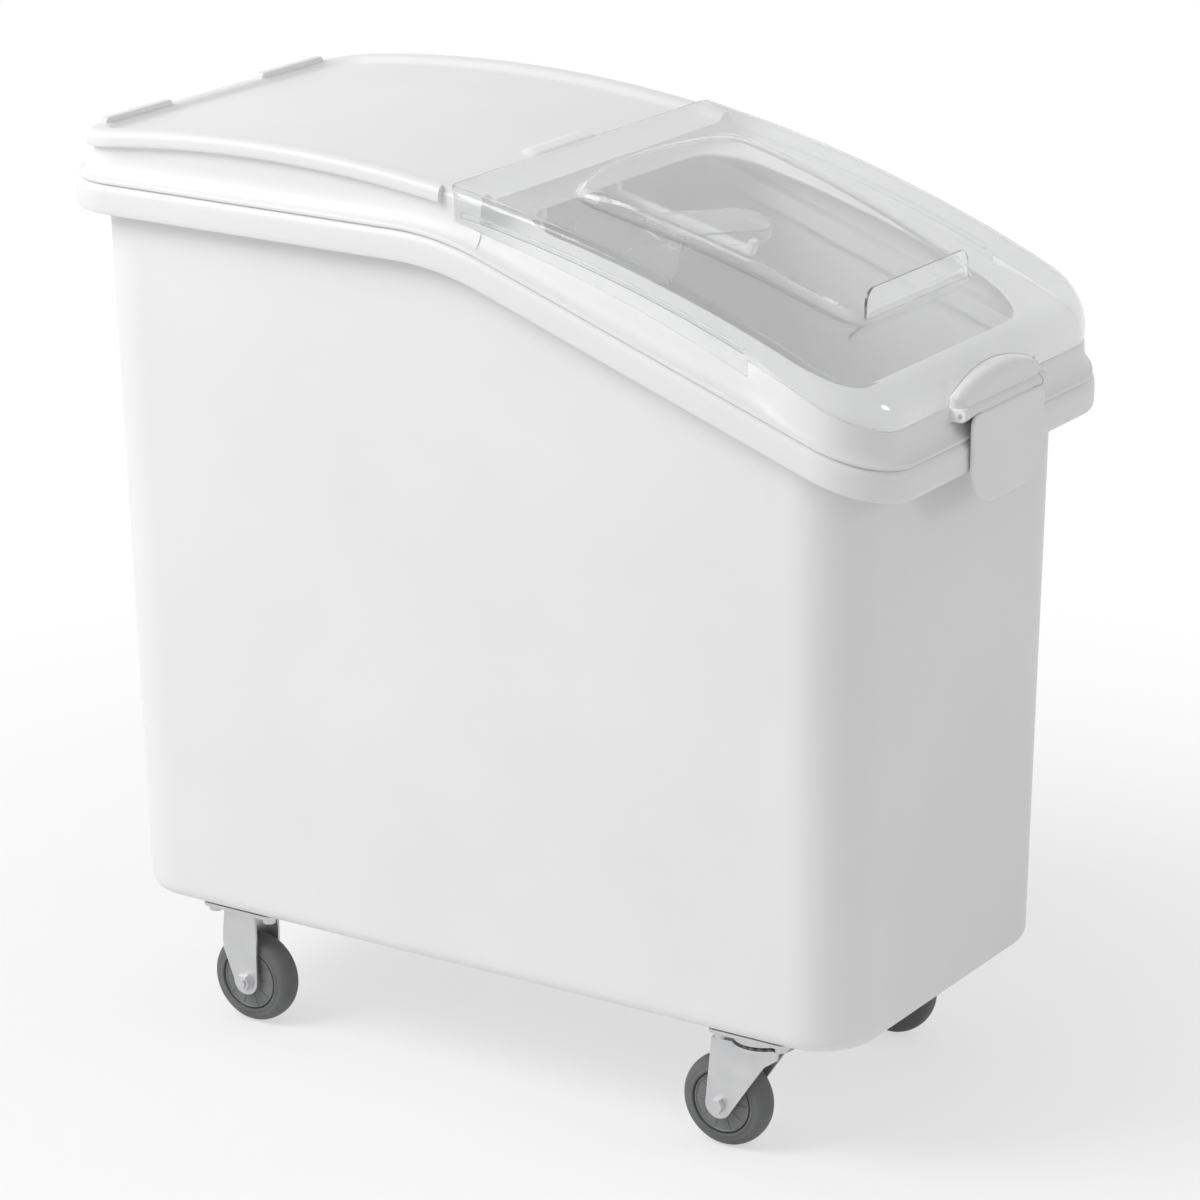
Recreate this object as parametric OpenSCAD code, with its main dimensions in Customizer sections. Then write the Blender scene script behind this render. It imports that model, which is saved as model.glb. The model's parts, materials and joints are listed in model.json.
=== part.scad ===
// Wheeled ingredient bin: a tapered tub with a slanted mouth, a white lid frame with a closed rear half,
// and a clear arched lid that slides back over it. Millimetres. +X is the front, +Z is up, and the origin
// is on the floor under the middle of the bin.

/* [Tub] */
// Height of the tub's underside above the floor
castor_h = 104; // [100:1:130]
// Height of the tub from its underside to the rear rim
tub_h = 599; // [540:1:640]
// Distance of the tub's rear wall behind the origin, at the bottom
tub_rear = 340.5; // [330:0.5:346]
// Distance of the tub's front wall before the origin, at the bottom
tub_front = 337.5; // [325:0.5:345]
// Half of the tub's width at the bottom
tub_half = 164; // [158:0.5:168]
// How far the rear wall leans out, top to bottom
rear_draft = 11.3; // [4:0.1:14]
// How far the front wall leans out, top to bottom
front_draft = 3; // [1:0.1:8]
// How far each side wall leans out, top to bottom
side_draft = 14.3; // [8:0.1:16]
// Thickness of the tub's walls
tub_wall = 4.5; // [3:0.1:6]
// Thickness of the tub's floor
floor_t = 10; // [9:0.1:13]
// Radius of the tub's upright corners
corner_r = 50; // [40:1:60]
// Radius of the tub's bottom edge
bottom_r = 12; // [8:1:16]

/* [Rim] */
// How far the rim stands out from the rear wall
rim_over_rear = 25; // [20:0.5:28]
// How far the rim stands out from the front wall
rim_over_front = 31; // [27:0.5:34]
// How far the rim stands out from the side walls
rim_over_side = 13.7; // [11:0.1:16]
// Height of the rim's hanging lip
rim_h = 24; // [18:0.5:30]
// Thickness of the rim
rim_t = 4.5; // [3:0.1:6]
// Radius of the rim's corners seen from above
rim_r = 57; // [50:1:64]
// Radius of the rim's upper outer edge
rim_edge_r = 6; // [3:0.5:8]
// Place of the bend where the mouth starts to slope
bend_x = -8; // [-20:1:4]
// Slope of the front half of the mouth
slope = 19.4; // [18:0.1:20]
// Half length of the rounded bend
bend_half = 40; // [20:1:60]

/* [Lid frame] */
// Height of the lid's crown above the rear rim
crown_h = 52; // [48:0.5:56]
// Radius of the arc that the clear lid slides on, at its top
lid_r = 1195; // [1175:1:1215]
// Distance of the arc's crown behind the origin
crown_x = 184; // [175:1:192]
// Wall thickness of the lid frame
frame_t = 3.5; // [2.5:0.1:4]
// How far the seat flange stays inside the rim
flange_in = 2; // [1:0.5:3]
// Height of the seat flange
flange_h = 3.5; // [2.5:0.1:4]
// How far the frame's side walls stay inside the rim
wall_in = 14; // [13:0.5:16]
// How far the frame's front apron stays behind the rim
apron_in = 10; // [9:0.5:12]
// Place of the shoulder that stops the closing lid
shoulder_x = 260; // [250:1:270]
// Front end of the closed rear half
hood_front = 25; // [18:1:28]
// Depth of the closed rear panel below the clear lid's top
panel_drop = 9; // [7:0.5:11]
// Depth of the front ledge below the clear lid's top
ledge_drop = 23; // [22:0.5:26]
// Width of the raised rails
rail_w = 19.7; // [16:0.1:24]
// How far the rails stand out over the side walls
rail_over = 5.7; // [5:0.1:7]
// Depth of the rails' lower face below the clear lid's top
rail_drop = 16; // [15:0.5:18]
// Front end of the rails' overhang
rail_front = -10; // [-20:1:0]
// Half width of the scooping mouth
mouth_half = 146; // [120:1:150]
// Rear end of the scooping mouth
mouth_rear = 30; // [28:1:40]
// Front end of the scooping mouth
mouth_front = 318; // [300:1:324]
// Radius of the scooping mouth's corners
mouth_r = 45; // [30:1:60]
// Depth of the locating skirt inside the tub
plug_h = 12; // [8:0.5:16]
// Gap between the locating skirt and the tub
plug_gap = 2; // [1:0.1:3]

/* [Clear lid] */
// Wall thickness of the clear lid
clear_t = 2.7; // [2:0.1:3]
// Running gap between the clear lid and the rails
slide_gap = 0.6; // [0.3:0.1:1]
// Rear edge of the clear lid when closed
clear_rear = -1; // [-6:0.5:6]
// Radius of the clear lid's front corners seen from above
clear_corner_r = 50; // [44:1:56]
// Bevel of the clear lid's upper edges
clear_bevel = 4; // [3:0.1:4.4]
// Depth of the side skirts at the rear, below the lid's top
skirt_rear = 25; // [22:0.5:27]
// Depth of the side skirts at the shoulder, below the lid's top
skirt_front = 33; // [30:0.5:34]
// Height of the raised panel
panel_rise = 7; // [4:0.5:9]
// Half width of the raised panel at its rear
panel_half_rear = 122; // [110:1:128]
// Half width of the raised panel at its front
panel_half_front = 92; // [84:1:100]
// Place of the finger lip
finger_x = 297; // [285:1:305]
// Half width of the finger lip
finger_half = 78; // [60:1:82]
// Height of the finger lip above the panel
finger_h = 18; // [12:0.5:24]

/* [Latch] */
// Half width of the latch plate
latch_half = 56; // [46:1:58]
// Thickness of the latch plate
latch_t = 4; // [3:0.1:5]
// Length of the latch below its pin
latch_drop = 73; // [65:1:85]
// Diameter of the latch pins
latch_pin_d = 4; // [3:0.1:5]
// Height of the latch pin above the rim's front edge
latch_pin_up = 22; // [18:0.5:24]

/* [Castors] */
// Diameter of the wheels
wheel_d = 75; // [70:1:80]
// Width of the tyres
wheel_w = 25; // [20:0.5:28]
// Distance of the rear axles behind the origin
rear_axle_x = 236; // [220:1:250]
// Distance of the swivel axes before the origin
swivel_x = 247; // [235:1:260]
// Distance of the castors from the middle plane
castor_y = 130; // [118:1:131]
// Trail of the swivel castors
trail = 30; // [24:1:34]
// Length of the castors' top plates
plate_l = 72; // [66:1:80]
// Width of the castors' top plates
plate_w = 54; // [52:1:58]
// Thickness of the castors' top plates
plate_t = 3; // [2.5:0.1:4]
// Screw spacing along the top plates
bolt_dx = 54; // [48:1:58]
// Screw spacing across the top plates
bolt_dy = 36; // [34:1:38]
// Thickness of the fork's sheet
fork_t = 2.5; // [2:0.1:3.5]
// Diameter of the axle bolts
axle_d = 8; // [6:0.5:10]
// Diameter of the axle sleeves
sleeve_d = 12; // [11:0.5:14]
// Diameter of the plate screws
bolt_d = 6; // [5:0.5:8]

/* [Scoop] */
// Length of the scoop's bowl
bowl_l = 88; // [70:1:95]
// Width of the scoop's bowl
bowl_w = 62; // [50:1:70]
// Depth of the scoop's bowl
bowl_h = 40; // [30:1:42]
// Wall thickness of the scoop
scoop_t = 2.2; // [1.6:0.1:3]
// Length of the scoop's handle
handle_l = 105; // [80:1:115]
// Width of the scoop's handle
handle_w = 42; // [30:1:46]
// Depth of the scoop's handle
handle_h = 12; // [9:0.5:15]
// Turn of the scoop on its rest
scoop_turn = 70; // [62:1:76]
// Place of the scoop's middle before the origin
scoop_x = 100; // [96:1:104]

/* [Hidden] */
$fn = 64;

white = [0.93, 0.93, 0.92];
clear = [0.80, 0.84, 0.86, 0.45];
zinc = [0.78, 0.79, 0.81];
grey = [0.36, 0.37, 0.38];
dark = [0.27, 0.28, 0.29];

// Seam between the tub's rim and the lid frame, seen from the side
seam_h = castor_h + tub_h;
corner_n = 8;
bend_n = 2;
far = 1000;
bend_xs = [for (i = [-bend_n : bend_n]) bend_x + bend_half * i / bend_n];

function seam_z(x) =
    let (u = x - bend_x)
    u <= -bend_half ? seam_h
    : u >= bend_half ? seam_h - u * tan(slope)
    : seam_h - tan(slope) * pow(u + bend_half, 2) / (4 * bend_half);

// Stations round a rounded outline, counter-clockwise from the middle of the front: corners and bend points
function corner_run(sx, sy, turn) = [for (i = [0 : corner_n]) [true, sx, sy, turn + 90 * i / corner_n]];
function bend_run(sy, xs) = [for (x = xs) [false, x, sy, 0]];
stations = concat(
    corner_run(1, 1, 0),
    bend_run(1, [for (i = [2 * bend_n : -1 : 0]) bend_xs[i]]),
    corner_run(-1, 1, 90), corner_run(-1, -1, 180),
    bend_run(-1, bend_xs),
    corner_run(1, -1, -90)
);

function outline_pt(s, rear, front, half, r) =
    s[0]
    ? [(s[1] > 0 ? front - r : r - rear) + r * cos(s[3]), s[2] * (half - r) + r * sin(s[3])]
    : [s[1], s[2] * half];

// The tub's wall at a height, grown outwards by g
function tub_pt(s, z, g) =
    let (k = (z - castor_h) / tub_h)
    outline_pt(s, tub_rear + k * rear_draft + g, tub_front + k * front_draft + g,
        tub_half + k * side_draft + g, corner_r + g);
function tub_level(z, g) = [for (s = stations) concat(tub_pt(s, z, g), [z])];
function tub_seam(drop, g) = [
    for (s = stations)
        let (z = seam_z(tub_pt(s, seam_h, g)[0]) - drop)
        concat(tub_pt(s, z, g), [z])
];

// The rim's outline, level seen from above
rim_rear = tub_rear + rear_draft + rim_over_rear;
rim_front = tub_front + front_draft + rim_over_front;
rim_half = tub_half + side_draft + rim_over_side;
function rim_loop(drop, inset) = [
    for (s = stations)
        let (p = outline_pt(s, rim_rear - inset, rim_front - inset, rim_half - inset, rim_r - inset))
        concat(p, [seam_z(p[0]) - drop])
];

// Solid skinned over a stack of closed loops; each cap is a ladder between the loop's two mirrored halves
module skin(loops) {
    n = len(loops[0]);
    last = len(loops) - 1;
    polyhedron(
        points = [for (loop = loops) each loop],
        faces = concat(
            [for (j = [0 : n / 2 - 2]) [j, j + 1, n - 2 - j, n - 1 - j]],
            [for (i = [0 : last - 1]) for (j = [0 : n - 1])
                [(i + 1) * n + j, (i + 1) * n + (j + 1) % n, i * n + j]],
            [for (i = [0 : last - 1]) for (j = [0 : n - 1])
                [(i + 1) * n + (j + 1) % n, i * n + (j + 1) % n, i * n + j]],
            [for (j = [0 : n / 2 - 2]) [for (k = [n - 1 - j, n - 2 - j, j + 1, j]) last * n + k]]
        )
    );
}

// Castor screw places
castor_xs = [-rear_axle_x, swivel_x];
bolt_hole_d = bolt_d + 0.6;
run_gap = 0.05;
screw_depth = 7;
module at_plate_screws() {
    for (x = castor_xs)
        for (y = [-castor_y, castor_y])
            for (dx = [-bolt_dx / 2, bolt_dx / 2])
                for (dy = [-bolt_dy / 2, bolt_dy / 2])
                    translate([x + dx, y + dy, castor_h]) children();
}

inner_r = bottom_r - tub_wall + 3;
land_r = 3;
lip_r = 1.5;
arc_steps = [0, 30, 60, 90];

// White moulded tub: tapered walls, rounded bottom and a rim with a hanging lip along the slanted mouth
module tub() {
    color(white)
    difference() {
        skin(concat(
            [for (a = arc_steps) tub_level(castor_h + bottom_r * (1 - cos(a)), bottom_r * (sin(a) - 1))],
            [tub_seam(rim_t + land_r, 0)],
            [tub_seam(rim_t, land_r)],
            [rim_loop(rim_t, rim_t)],
            [rim_loop(rim_h - lip_r, rim_t)],
            [rim_loop(rim_h, rim_t - lip_r)],
            [rim_loop(rim_h, lip_r)],
            [rim_loop(rim_h - lip_r, 0)],
            [for (a = arc_steps) rim_loop(rim_edge_r * (1 - sin(a)), rim_edge_r * (1 - cos(a)))],
            [tub_seam(0, lip_r - tub_wall)],
            [tub_seam(lip_r, -tub_wall)],
            [for (a = [90, 60, 30, 0])
                tub_level(castor_h + floor_t + inner_r * (1 - cos(a)), inner_r * (sin(a) - 1) - tub_wall)]
        ));
        at_plate_screws() translate([0, 0, -1]) cylinder(d = bolt_d + 2 * run_gap, h = screw_depth + 1.5);
    }
}

// Plate screws: hex heads on washers under the castor plates, shanks in blind holes, so the floor inside stays whole
screw_head_d = 1.9 * bolt_d;
screw_head_h = 0.65 * bolt_d;
washer_d = 2.1 * bolt_d;
washer_t = 1.2;
module plate_screws() {
    color(zinc)
    at_plate_screws() {
        translate([0, 0, -plate_t - washer_t - screw_head_h]) cylinder(d = screw_head_d, h = screw_head_h, $fn = 6);
        translate([0, 0, -plate_t - washer_t - 0.5])
            cylinder(d = bolt_d, h = plate_t + washer_t + screw_depth + 0.5);
    }
}
module plate_washers() {
    color(zinc)
    at_plate_screws()
        translate([0, 0, -plate_t - washer_t])
            difference() {
                cylinder(d = washer_d, h = washer_t);
                translate([0, 0, -1]) cylinder(d = bolt_hole_d, h = washer_t + 2);
            }
}

// Castor pieces, drawn with the axle along Y over x = 0, y = 0; the nut is on the side given as outer
axle_z = wheel_d / 2;
leg_gap = 1.5;
leg_y = wheel_w / 2 + leg_gap;
leg_end_r = 11.5;
plate_corner_r = 8;

module rounded(l, w, r) {
    square([l - 2 * r, w], center = true);
    square([l, w - 2 * r], center = true);
    for (x = [r - l / 2, l / 2 - r])
        for (y = [r - w / 2, w / 2 - r])
            translate([x, y]) circle(r);
}

module castor_plate() {
    translate([0, 0, castor_h - plate_t])
        linear_extrude(plate_t)
            difference() {
                rounded(plate_l, plate_w, plate_corner_r);
                for (x = [-bolt_dx / 2, bolt_dx / 2])
                    for (y = [-bolt_dy / 2, bolt_dy / 2])
                        translate([x, y]) circle(d = bolt_hole_d);
            }
}

// Both legs of a fork from one side profile
module legs() {
    for (side = [0, 1])
        mirror([0, side, 0])
            translate([0, leg_y + fork_t, 0])
                rotate([90, 0, 0]) linear_extrude(fork_t) children();
}

module axle_hole() {
    translate([0, 0, axle_z])
        rotate([90, 0, 0]) cylinder(d = axle_d + 2 * run_gap, h = 4 * wheel_w, center = true);
}

// Side profile of a rigid leg: an upright front edge, and a rear edge that bellies out over the wheel
rigid_front = 10;
rigid_rear = 19.5;
rigid_belly = 22;
belly_low = 26;
belly_high = 40;
module rigid_fork() {
    top = castor_h - plate_t;
    color(zinc)
    difference() {
        union() {
            castor_plate();
            legs() {
                polygon([[leg_end_r, axle_z], [leg_end_r, axle_z + belly_high], [rigid_front, top + 0.5],
                    [-rigid_rear, top + 0.5], [-rigid_belly, axle_z + belly_high],
                    [-rigid_belly, axle_z + belly_low], [-leg_end_r, axle_z]]);
                translate([0, axle_z]) circle(leg_end_r);
            }
        }
        axle_hole();
    }
}

// Swivel head: two race rings with a ring of balls between them
race_r = 17;
race_out = 24;
race_in = 10;
race_h = 5;
race_gap = 3;
ball_d = 5;
ball_n = 16;
kingpin_d = 9;
crown_t = 3;
race_z = castor_h - plate_t - race_h;
ball_z = race_z - race_gap / 2;
crown_z = race_z - race_gap - crown_t;

module ball_groove() {
    translate([0, 0, ball_z]) rotate_extrude() translate([race_r, 0]) circle(ball_d / 2 + run_gap);
}

module top_plate() {
    color(zinc)
    difference() {
        union() {
            castor_plate();
            translate([0, 0, race_z]) cylinder(r = race_out, h = race_h + 0.5);
        }
        translate([0, 0, race_z - 1]) cylinder(d = kingpin_d + 2 * run_gap, h = race_h + plate_t + 2);
        ball_groove();
    }
}

module swivel_balls() {
    color(zinc)
    for (i = [0 : ball_n - 1])
        rotate(360 * i / ball_n) translate([race_r, 0, ball_z]) sphere(d = ball_d);
}

kingpin_head_d = 18;
kingpin_head_h = 3;
module kingpin() {
    color(zinc) {
        translate([0, 0, crown_z - kingpin_head_h - run_gap]) cylinder(d = kingpin_head_d, h = kingpin_head_h);
        translate([0, 0, crown_z - kingpin_head_h])
            cylinder(d = kingpin_d, h = castor_h - crown_z + kingpin_head_h - 0.5);
    }
}

// The swivel fork is drawn with its axle over x = 0 and its swivel axis over x = trail
swivel_front = trail + 22;
swivel_rear = 6.5;
module swivel_fork() {
    color(zinc)
    difference() {
        union() {
            translate([trail, 0, crown_z]) cylinder(r = race_out, h = crown_t);
            legs() {
                polygon([[-swivel_rear, crown_z + crown_t], [swivel_front, crown_z + crown_t],
                    [swivel_front, crown_z - 4], [trail + 10, axle_z + belly_high],
                    [leg_end_r * 0.8, axle_z - leg_end_r * 0.6], [-leg_end_r, axle_z]]);
                translate([0, axle_z]) circle(leg_end_r);
            }
            translate([-swivel_rear, -leg_y - fork_t, crown_z])
                cube([swivel_front + swivel_rear, 2 * (leg_y + fork_t), crown_t]);
        }
        translate([trail, 0, crown_z - 1]) cylinder(d = kingpin_d + 2 * run_gap, h = crown_t + 2);
        translate([trail, 0, 0]) ball_groove();
        axle_hole();
    }
}

axle_head_d = 2 * axle_d;
axle_head_h = 0.65 * axle_d;
axle_tail = 2;
module axle_bolt(outer) {
    color(zinc)
    translate([0, 0, axle_z])
        rotate([90 * outer, 0, 0]) {
            translate([0, 0, leg_y + fork_t]) cylinder(d = axle_head_d * 0.82, h = axle_head_h, $fn = 6);
            translate([0, 0, -leg_y - fork_t - axle_head_h - axle_tail])
                cylinder(d = axle_d, h = 2 * (leg_y + fork_t) + axle_head_h + axle_tail + 0.5);
        }
}
module axle_nut(outer) {
    color(zinc)
    translate([0, 0, axle_z])
        rotate([90 * outer, 0, 0])
            translate([0, 0, -leg_y - fork_t - axle_head_h])
                difference() {
                    union() {
                        cylinder(d = axle_head_d * 0.9, h = axle_head_h, $fn = 6);
                        translate([0, 0, axle_head_h - 1.5]) cylinder(d = axle_head_d, h = 1.5);
                    }
                    translate([0, 0, -1]) cylinder(d = axle_d, h = axle_head_h + 2);
                }
}
module axle_sleeve() {
    color(zinc)
    translate([0, 0, axle_z])
        rotate([90, 0, 0])
            difference() {
                cylinder(d = sleeve_d, h = 2 * leg_y, center = true);
                cylinder(d = axle_d + 2 * run_gap, h = 2 * leg_y + 2, center = true);
            }
}

// Wheel: a plastic hub with low radial ribs and a rubber tyre round it
tyre_t = 12.5;
tyre_edge_r = 6;
hub_r = wheel_d / 2 - tyre_t;
hub_w = wheel_w - 2;
hub_boss_r = sleeve_d / 2 + 4.5;
hub_rim_t = 2;
hub_web = hub_w - 2;
hub_ribs = 10;
hub_rib_t = 1.6;
hub_rib_in = 0.4;
module hub() {
    color(grey)
    translate([0, 0, axle_z])
        rotate([90, 0, 0])
            difference() {
                union() {
                    cylinder(r = hub_r, h = hub_web, center = true);
                    cylinder(r = hub_boss_r, h = hub_w + 1, center = true);
                    difference() {
                        cylinder(r = hub_r, h = hub_w, center = true);
                        cylinder(r = hub_r - hub_rim_t, h = hub_w + 2, center = true);
                    }
                    for (i = [0 : hub_ribs - 1])
                        rotate(360 * i / hub_ribs)
                            translate([hub_boss_r - 1, -hub_rib_t / 2, hub_rib_in - hub_w / 2])
                                cube([hub_r - hub_rim_t - hub_boss_r + 2, hub_rib_t, hub_w - 2 * hub_rib_in]);
                }
                cylinder(d = sleeve_d + 2 * run_gap, h = wheel_w + 2, center = true);
            }
}
module tyre() {
    color(dark)
    translate([0, 0, axle_z])
        rotate([90, 0, 0])
            rotate_extrude()
                translate([hub_r, 0]) {
                    translate([0, -wheel_w / 2]) square([tyre_t - tyre_edge_r, wheel_w]);
                    translate([0, tyre_edge_r - wheel_w / 2]) square([tyre_t, wheel_w - 2 * tyre_edge_r]);
                    for (y = [tyre_edge_r - wheel_w / 2, wheel_w / 2 - tyre_edge_r])
                        translate([tyre_t - tyre_edge_r, y]) circle(tyre_edge_r);
                }
}

module rear_castor(side) {
    translate([-rear_axle_x, side * castor_y, 0]) children();
}
module front_castor(side) {
    translate([swivel_x - trail, side * castor_y, 0]) children();
}
module swivel_head(side) {
    translate([swivel_x, side * castor_y, 0]) children();
}

// Solids cut by an outline seen from above and by a profile seen from the side
arc_x = -crown_x;
arc_z = seam_h + crown_h - lid_r;
module outline(rear, front, half, r) {
    translate([r - rear, -half]) square([rear + front - 2 * r, 2 * half]);
    translate([-rear, r - half]) square([rear + front, 2 * (half - r)]);
    for (x = [r - rear, front - r])
        for (y = [r - half, half - r])
            translate([x, y]) circle(r);
}
module pillar(rear, front, half, r) {
    translate([0, 0, castor_h]) linear_extrude(far) outline(rear, front, half, r);
}
module across() {
    rotate([90, 0, 0]) linear_extrude(far, center = true) children();
}
module disc(drop) {
    translate([arc_x, arc_z]) circle(lid_r - drop, $fn = 360);
}
module behind(x) {
    translate([-far, -far]) square([far + x, 3 * far]);
}
module ahead(x) {
    translate([x, -far]) square([far, 3 * far]);
}
module above_seam(up) {
    xs = concat([-far], bend_xs, [far]);
    polygon(concat([for (x = xs) [x, seam_z(x) + up]], [[far, 2 * far], [-far, 2 * far]]));
}
function arc_top(x, drop) = arc_z + sqrt(pow(lid_r - drop, 2) - pow(x - arc_x, 2));

// Lid frame outlines, all taken from the rim
flange_half = rim_half - flange_in;
wall_half = rim_half - wall_in;
wall_rear = rim_rear - wall_in;
wall_r = rim_r - wall_in + 2;
rail_half = wall_half + rail_over;
rail_rear = wall_rear + rail_over;
rail_r = wall_r + rail_over;
apron_front = rim_front - apron_in;
clear_half = rail_half + slide_gap + clear_t;
apron_half = clear_half - 1;
rail_top = clear_t + slide_gap;
shell_join = 2;
seat_gap = 0.05;

module hood() {
    difference() {
        intersection() {
            pillar(wall_rear, shoulder_x + shell_join + wall_r, wall_half, wall_r);
            across()
                intersection() {
                    above_seam(seat_gap);
                    behind(shoulder_x + shell_join);
                    union() {
                        disc(ledge_drop);
                        intersection() {
                            disc(panel_drop);
                            behind(hood_front);
                        }
                    }
                }
        }
        intersection() {
            pillar(wall_rear - frame_t, far, wall_half - frame_t, wall_r - frame_t);
            across()
                union() {
                    disc(ledge_drop + frame_t);
                    intersection() {
                        disc(panel_drop + frame_t);
                        behind(hood_front - frame_t);
                    }
                }
        }
    }
}

// Front of the frame: flush with the clear lid's skirt, with the shoulders that stop the closing lid
module apron() {
    difference() {
        intersection() {
            pillar(0, apron_front, apron_half, clear_corner_r - 1);
            across()
                intersection() {
                    above_seam(seat_gap);
                    disc(ledge_drop);
                    ahead(shoulder_x);
                }
        }
        intersection() {
            pillar(0, apron_front - frame_t, apron_half - frame_t, clear_corner_r - 1 - frame_t);
            across()
                intersection() {
                    disc(ledge_drop + frame_t);
                    ahead(shoulder_x + frame_t);
                }
        }
        intersection() {
            pillar(0, apron_front - frame_t, wall_half - frame_t, clear_corner_r - 1 - frame_t);
            across() disc(ledge_drop + frame_t);
        }
    }
}

// Seat flange on the rim, and the skirt below it that locates the frame in the tub's mouth
plug_half = tub_half + (seam_z(rim_front) - plug_h - castor_h) / tub_h * side_draft - tub_wall - plug_gap;
plug_rear = tub_rear + rear_draft * 0.96 - tub_wall - plug_gap;
plug_front = tub_front + front_draft * 0.76 - tub_wall - plug_gap;
plug_r = corner_r - tub_wall - plug_gap;
module seat() {
    difference() {
        union() {
            intersection() {
                pillar(rim_rear - flange_in, rim_front - flange_in, flange_half, rim_r - flange_in);
                across()
                    difference() {
                        above_seam(seat_gap);
                        above_seam(flange_h);
                    }
            }
            intersection() {
                pillar(plug_rear, plug_front, plug_half, plug_r);
                across()
                    difference() {
                        above_seam(-plug_h);
                        above_seam(flange_h);
                    }
            }
        }
        pillar(plug_rear - frame_t, plug_front - frame_t, plug_half - frame_t, plug_r - frame_t);
    }
}

// Bevel cutters along the upper side edges of an arched piece
module edge_bevel(half, drop, c) {
    r = lid_r - drop;
    for (side = [0, 1])
        mirror([0, side, 0])
            translate([arc_x, 0, arc_z])
                rotate([-90, 0, 0])
                    rotate_extrude(start = -130, angle = 80)
                        polygon([[r - c - 1, half + 1], [r + 1, half - c - 1], [r + 1, half + 1]]);
}

// Raised rails round the closed half, and the tongues that carry them on under the clear lid
rail_bevel = 3;
module rails() {
    difference() {
        intersection() {
            pillar(rail_rear, far, rail_half, rail_r);
            across()
                intersection() {
                    difference() {
                        disc(rail_top);
                        disc(rail_drop);
                    }
                    behind(rail_front);
                }
        }
        pillar(rail_rear - rail_w, far, rail_half - rail_w, rail_r - rail_w / 2);
        edge_bevel(rail_half, rail_top, rail_bevel);
    }
    intersection() {
        across()
            intersection() {
                difference() {
                    disc(rail_top);
                    disc(panel_drop + 1);
                }
                ahead(rail_front - 1);
                behind(hood_front);
            }
        for (side = [-1, 1])
            translate([0, side * (wall_half - 1 - (rail_w - rail_over) / 2), 0])
                cube([far, rail_w - rail_over - 2, 3 * far], center = true);
    }
}

// Ribs across the rear rail, and the low hump behind the closed lid
rib_t = 6;
rib_end_r = 3;
rib_in = 60;
rib_out = 145;
rib_x = 13 - rail_rear;
rib_rise = 1;
hump_half = 46;
hump_x = hood_front - 46;
hump_r = 11;
hump_top = panel_drop - 3;
module rear_ribs() {
    low = arc_top(rib_x, panel_drop) - 2;
    high = arc_top(rib_x, 0) + rib_rise;
    for (side = [0, 1])
        mirror([0, side, 0])
            translate([rib_x, rib_in, low])
                rotate([90, 0, 90])
                    linear_extrude(rib_t, center = true) {
                        square([rib_out - rib_in, high - low - rib_end_r]);
                        translate([rib_end_r, 0]) square([rib_out - rib_in - 2 * rib_end_r, high - low]);
                        for (u = [rib_end_r, rib_out - rib_in - rib_end_r])
                            translate([u, high - low - rib_end_r]) circle(rib_end_r);
                    }
}
module hump() {
    intersection() {
        linear_extrude(2 * far) {
            translate([hump_x - hump_r, hump_r - hump_half]) square([2 * hump_r, 2 * (hump_half - hump_r)]);
            for (side = [-1, 1])
                translate([hump_x, side * (hump_half - hump_r)]) circle(hump_r);
        }
        across()
            difference() {
                disc(hump_top);
                disc(panel_drop + 1);
            }
    }
}

// Boss and lugs that carry the latch on the apron
pin_x = rim_front - 2;
pin_z = seam_z(rim_front) + latch_pin_up;
lug_t = 9;
lug_gap = 0.5;
lug_r = 5;
boss_half = latch_half + lug_gap + lug_t;
boss_top = arc_top(apron_front, 0) - 6;
boss_d = 9;
boss_rise = 12.5;
boss_arc_r = (pow(boss_half, 2) + pow(boss_rise, 2)) / (2 * boss_rise);
module latch_boss() {
    difference() {
        translate([apron_front - frame_t, 0, 0])
            rotate([90, 0, 90])
                linear_extrude(frame_t + boss_d)
                    intersection() {
                        translate([0, boss_top - boss_arc_r]) circle(boss_arc_r, $fn = 180);
                        translate([-boss_half, pin_z - lug_r]) square([2 * boss_half, 60]);
                    }
        translate([pin_x, 0, pin_z])
            rotate([90, 0, 0]) cylinder(r = lug_r + 0.8, h = 2 * (latch_half + lug_gap), center = true);
    }
    for (side = [-1, 1])
        translate([0, side * (latch_half + lug_gap + lug_t / 2), 0])
            rotate([90, 0, 0])
                linear_extrude(lug_t, center = true) {
                    translate([apron_front - 2, pin_z - lug_r]) square([pin_x - apron_front + 2, 2 * lug_r]);
                    translate([pin_x, pin_z]) circle(lug_r);
                }
}

// Rest for the scoop: a finger under its bowl and one under its handle, hung from under the closed half
rest_tilt = asin((scoop_x - arc_x) / (lid_r - ledge_drop));
rest_drop = ledge_drop + bowl_h + 5;
rest_w = 9;
web_w = 7;
rest_t = 5;
rest_tip = 7;
// Each finger: place across the bin, height above the bowl's underside, reach before the scoop's middle
rest_fingers = [[-88, 0, bowl_w / 2 - 21], [18, bowl_h - handle_h, handle_w / 2 + 17]];
module scoop_place() {
    translate([scoop_x, 0, arc_top(scoop_x, rest_drop)]) rotate([0, rest_tilt, 0]) children();
}
module scoop_rest() {
    web_x = hood_front - 3 * frame_t;
    for (f = rest_fingers) {
        root = scoop_x - web_x - 1 + f[1] * tan(rest_tilt);
        scoop_place()
            translate([0, f[0] - rest_w / 2, f[1] - rest_t]) {
                translate([-root, 0, 0]) cube([root + f[2], rest_w, rest_t]);
                translate([f[2] - rest_t, 0, 0]) cube([rest_t, rest_w, rest_t + rest_tip]);
            }
        intersection() {
            translate([web_x, f[0] - web_w / 2, arc_top(web_x, rest_drop) + f[1] - 2])
                cube([2 * frame_t, web_w, rest_drop]);
            across() disc(panel_drop + 1);
        }
    }
}

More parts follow.
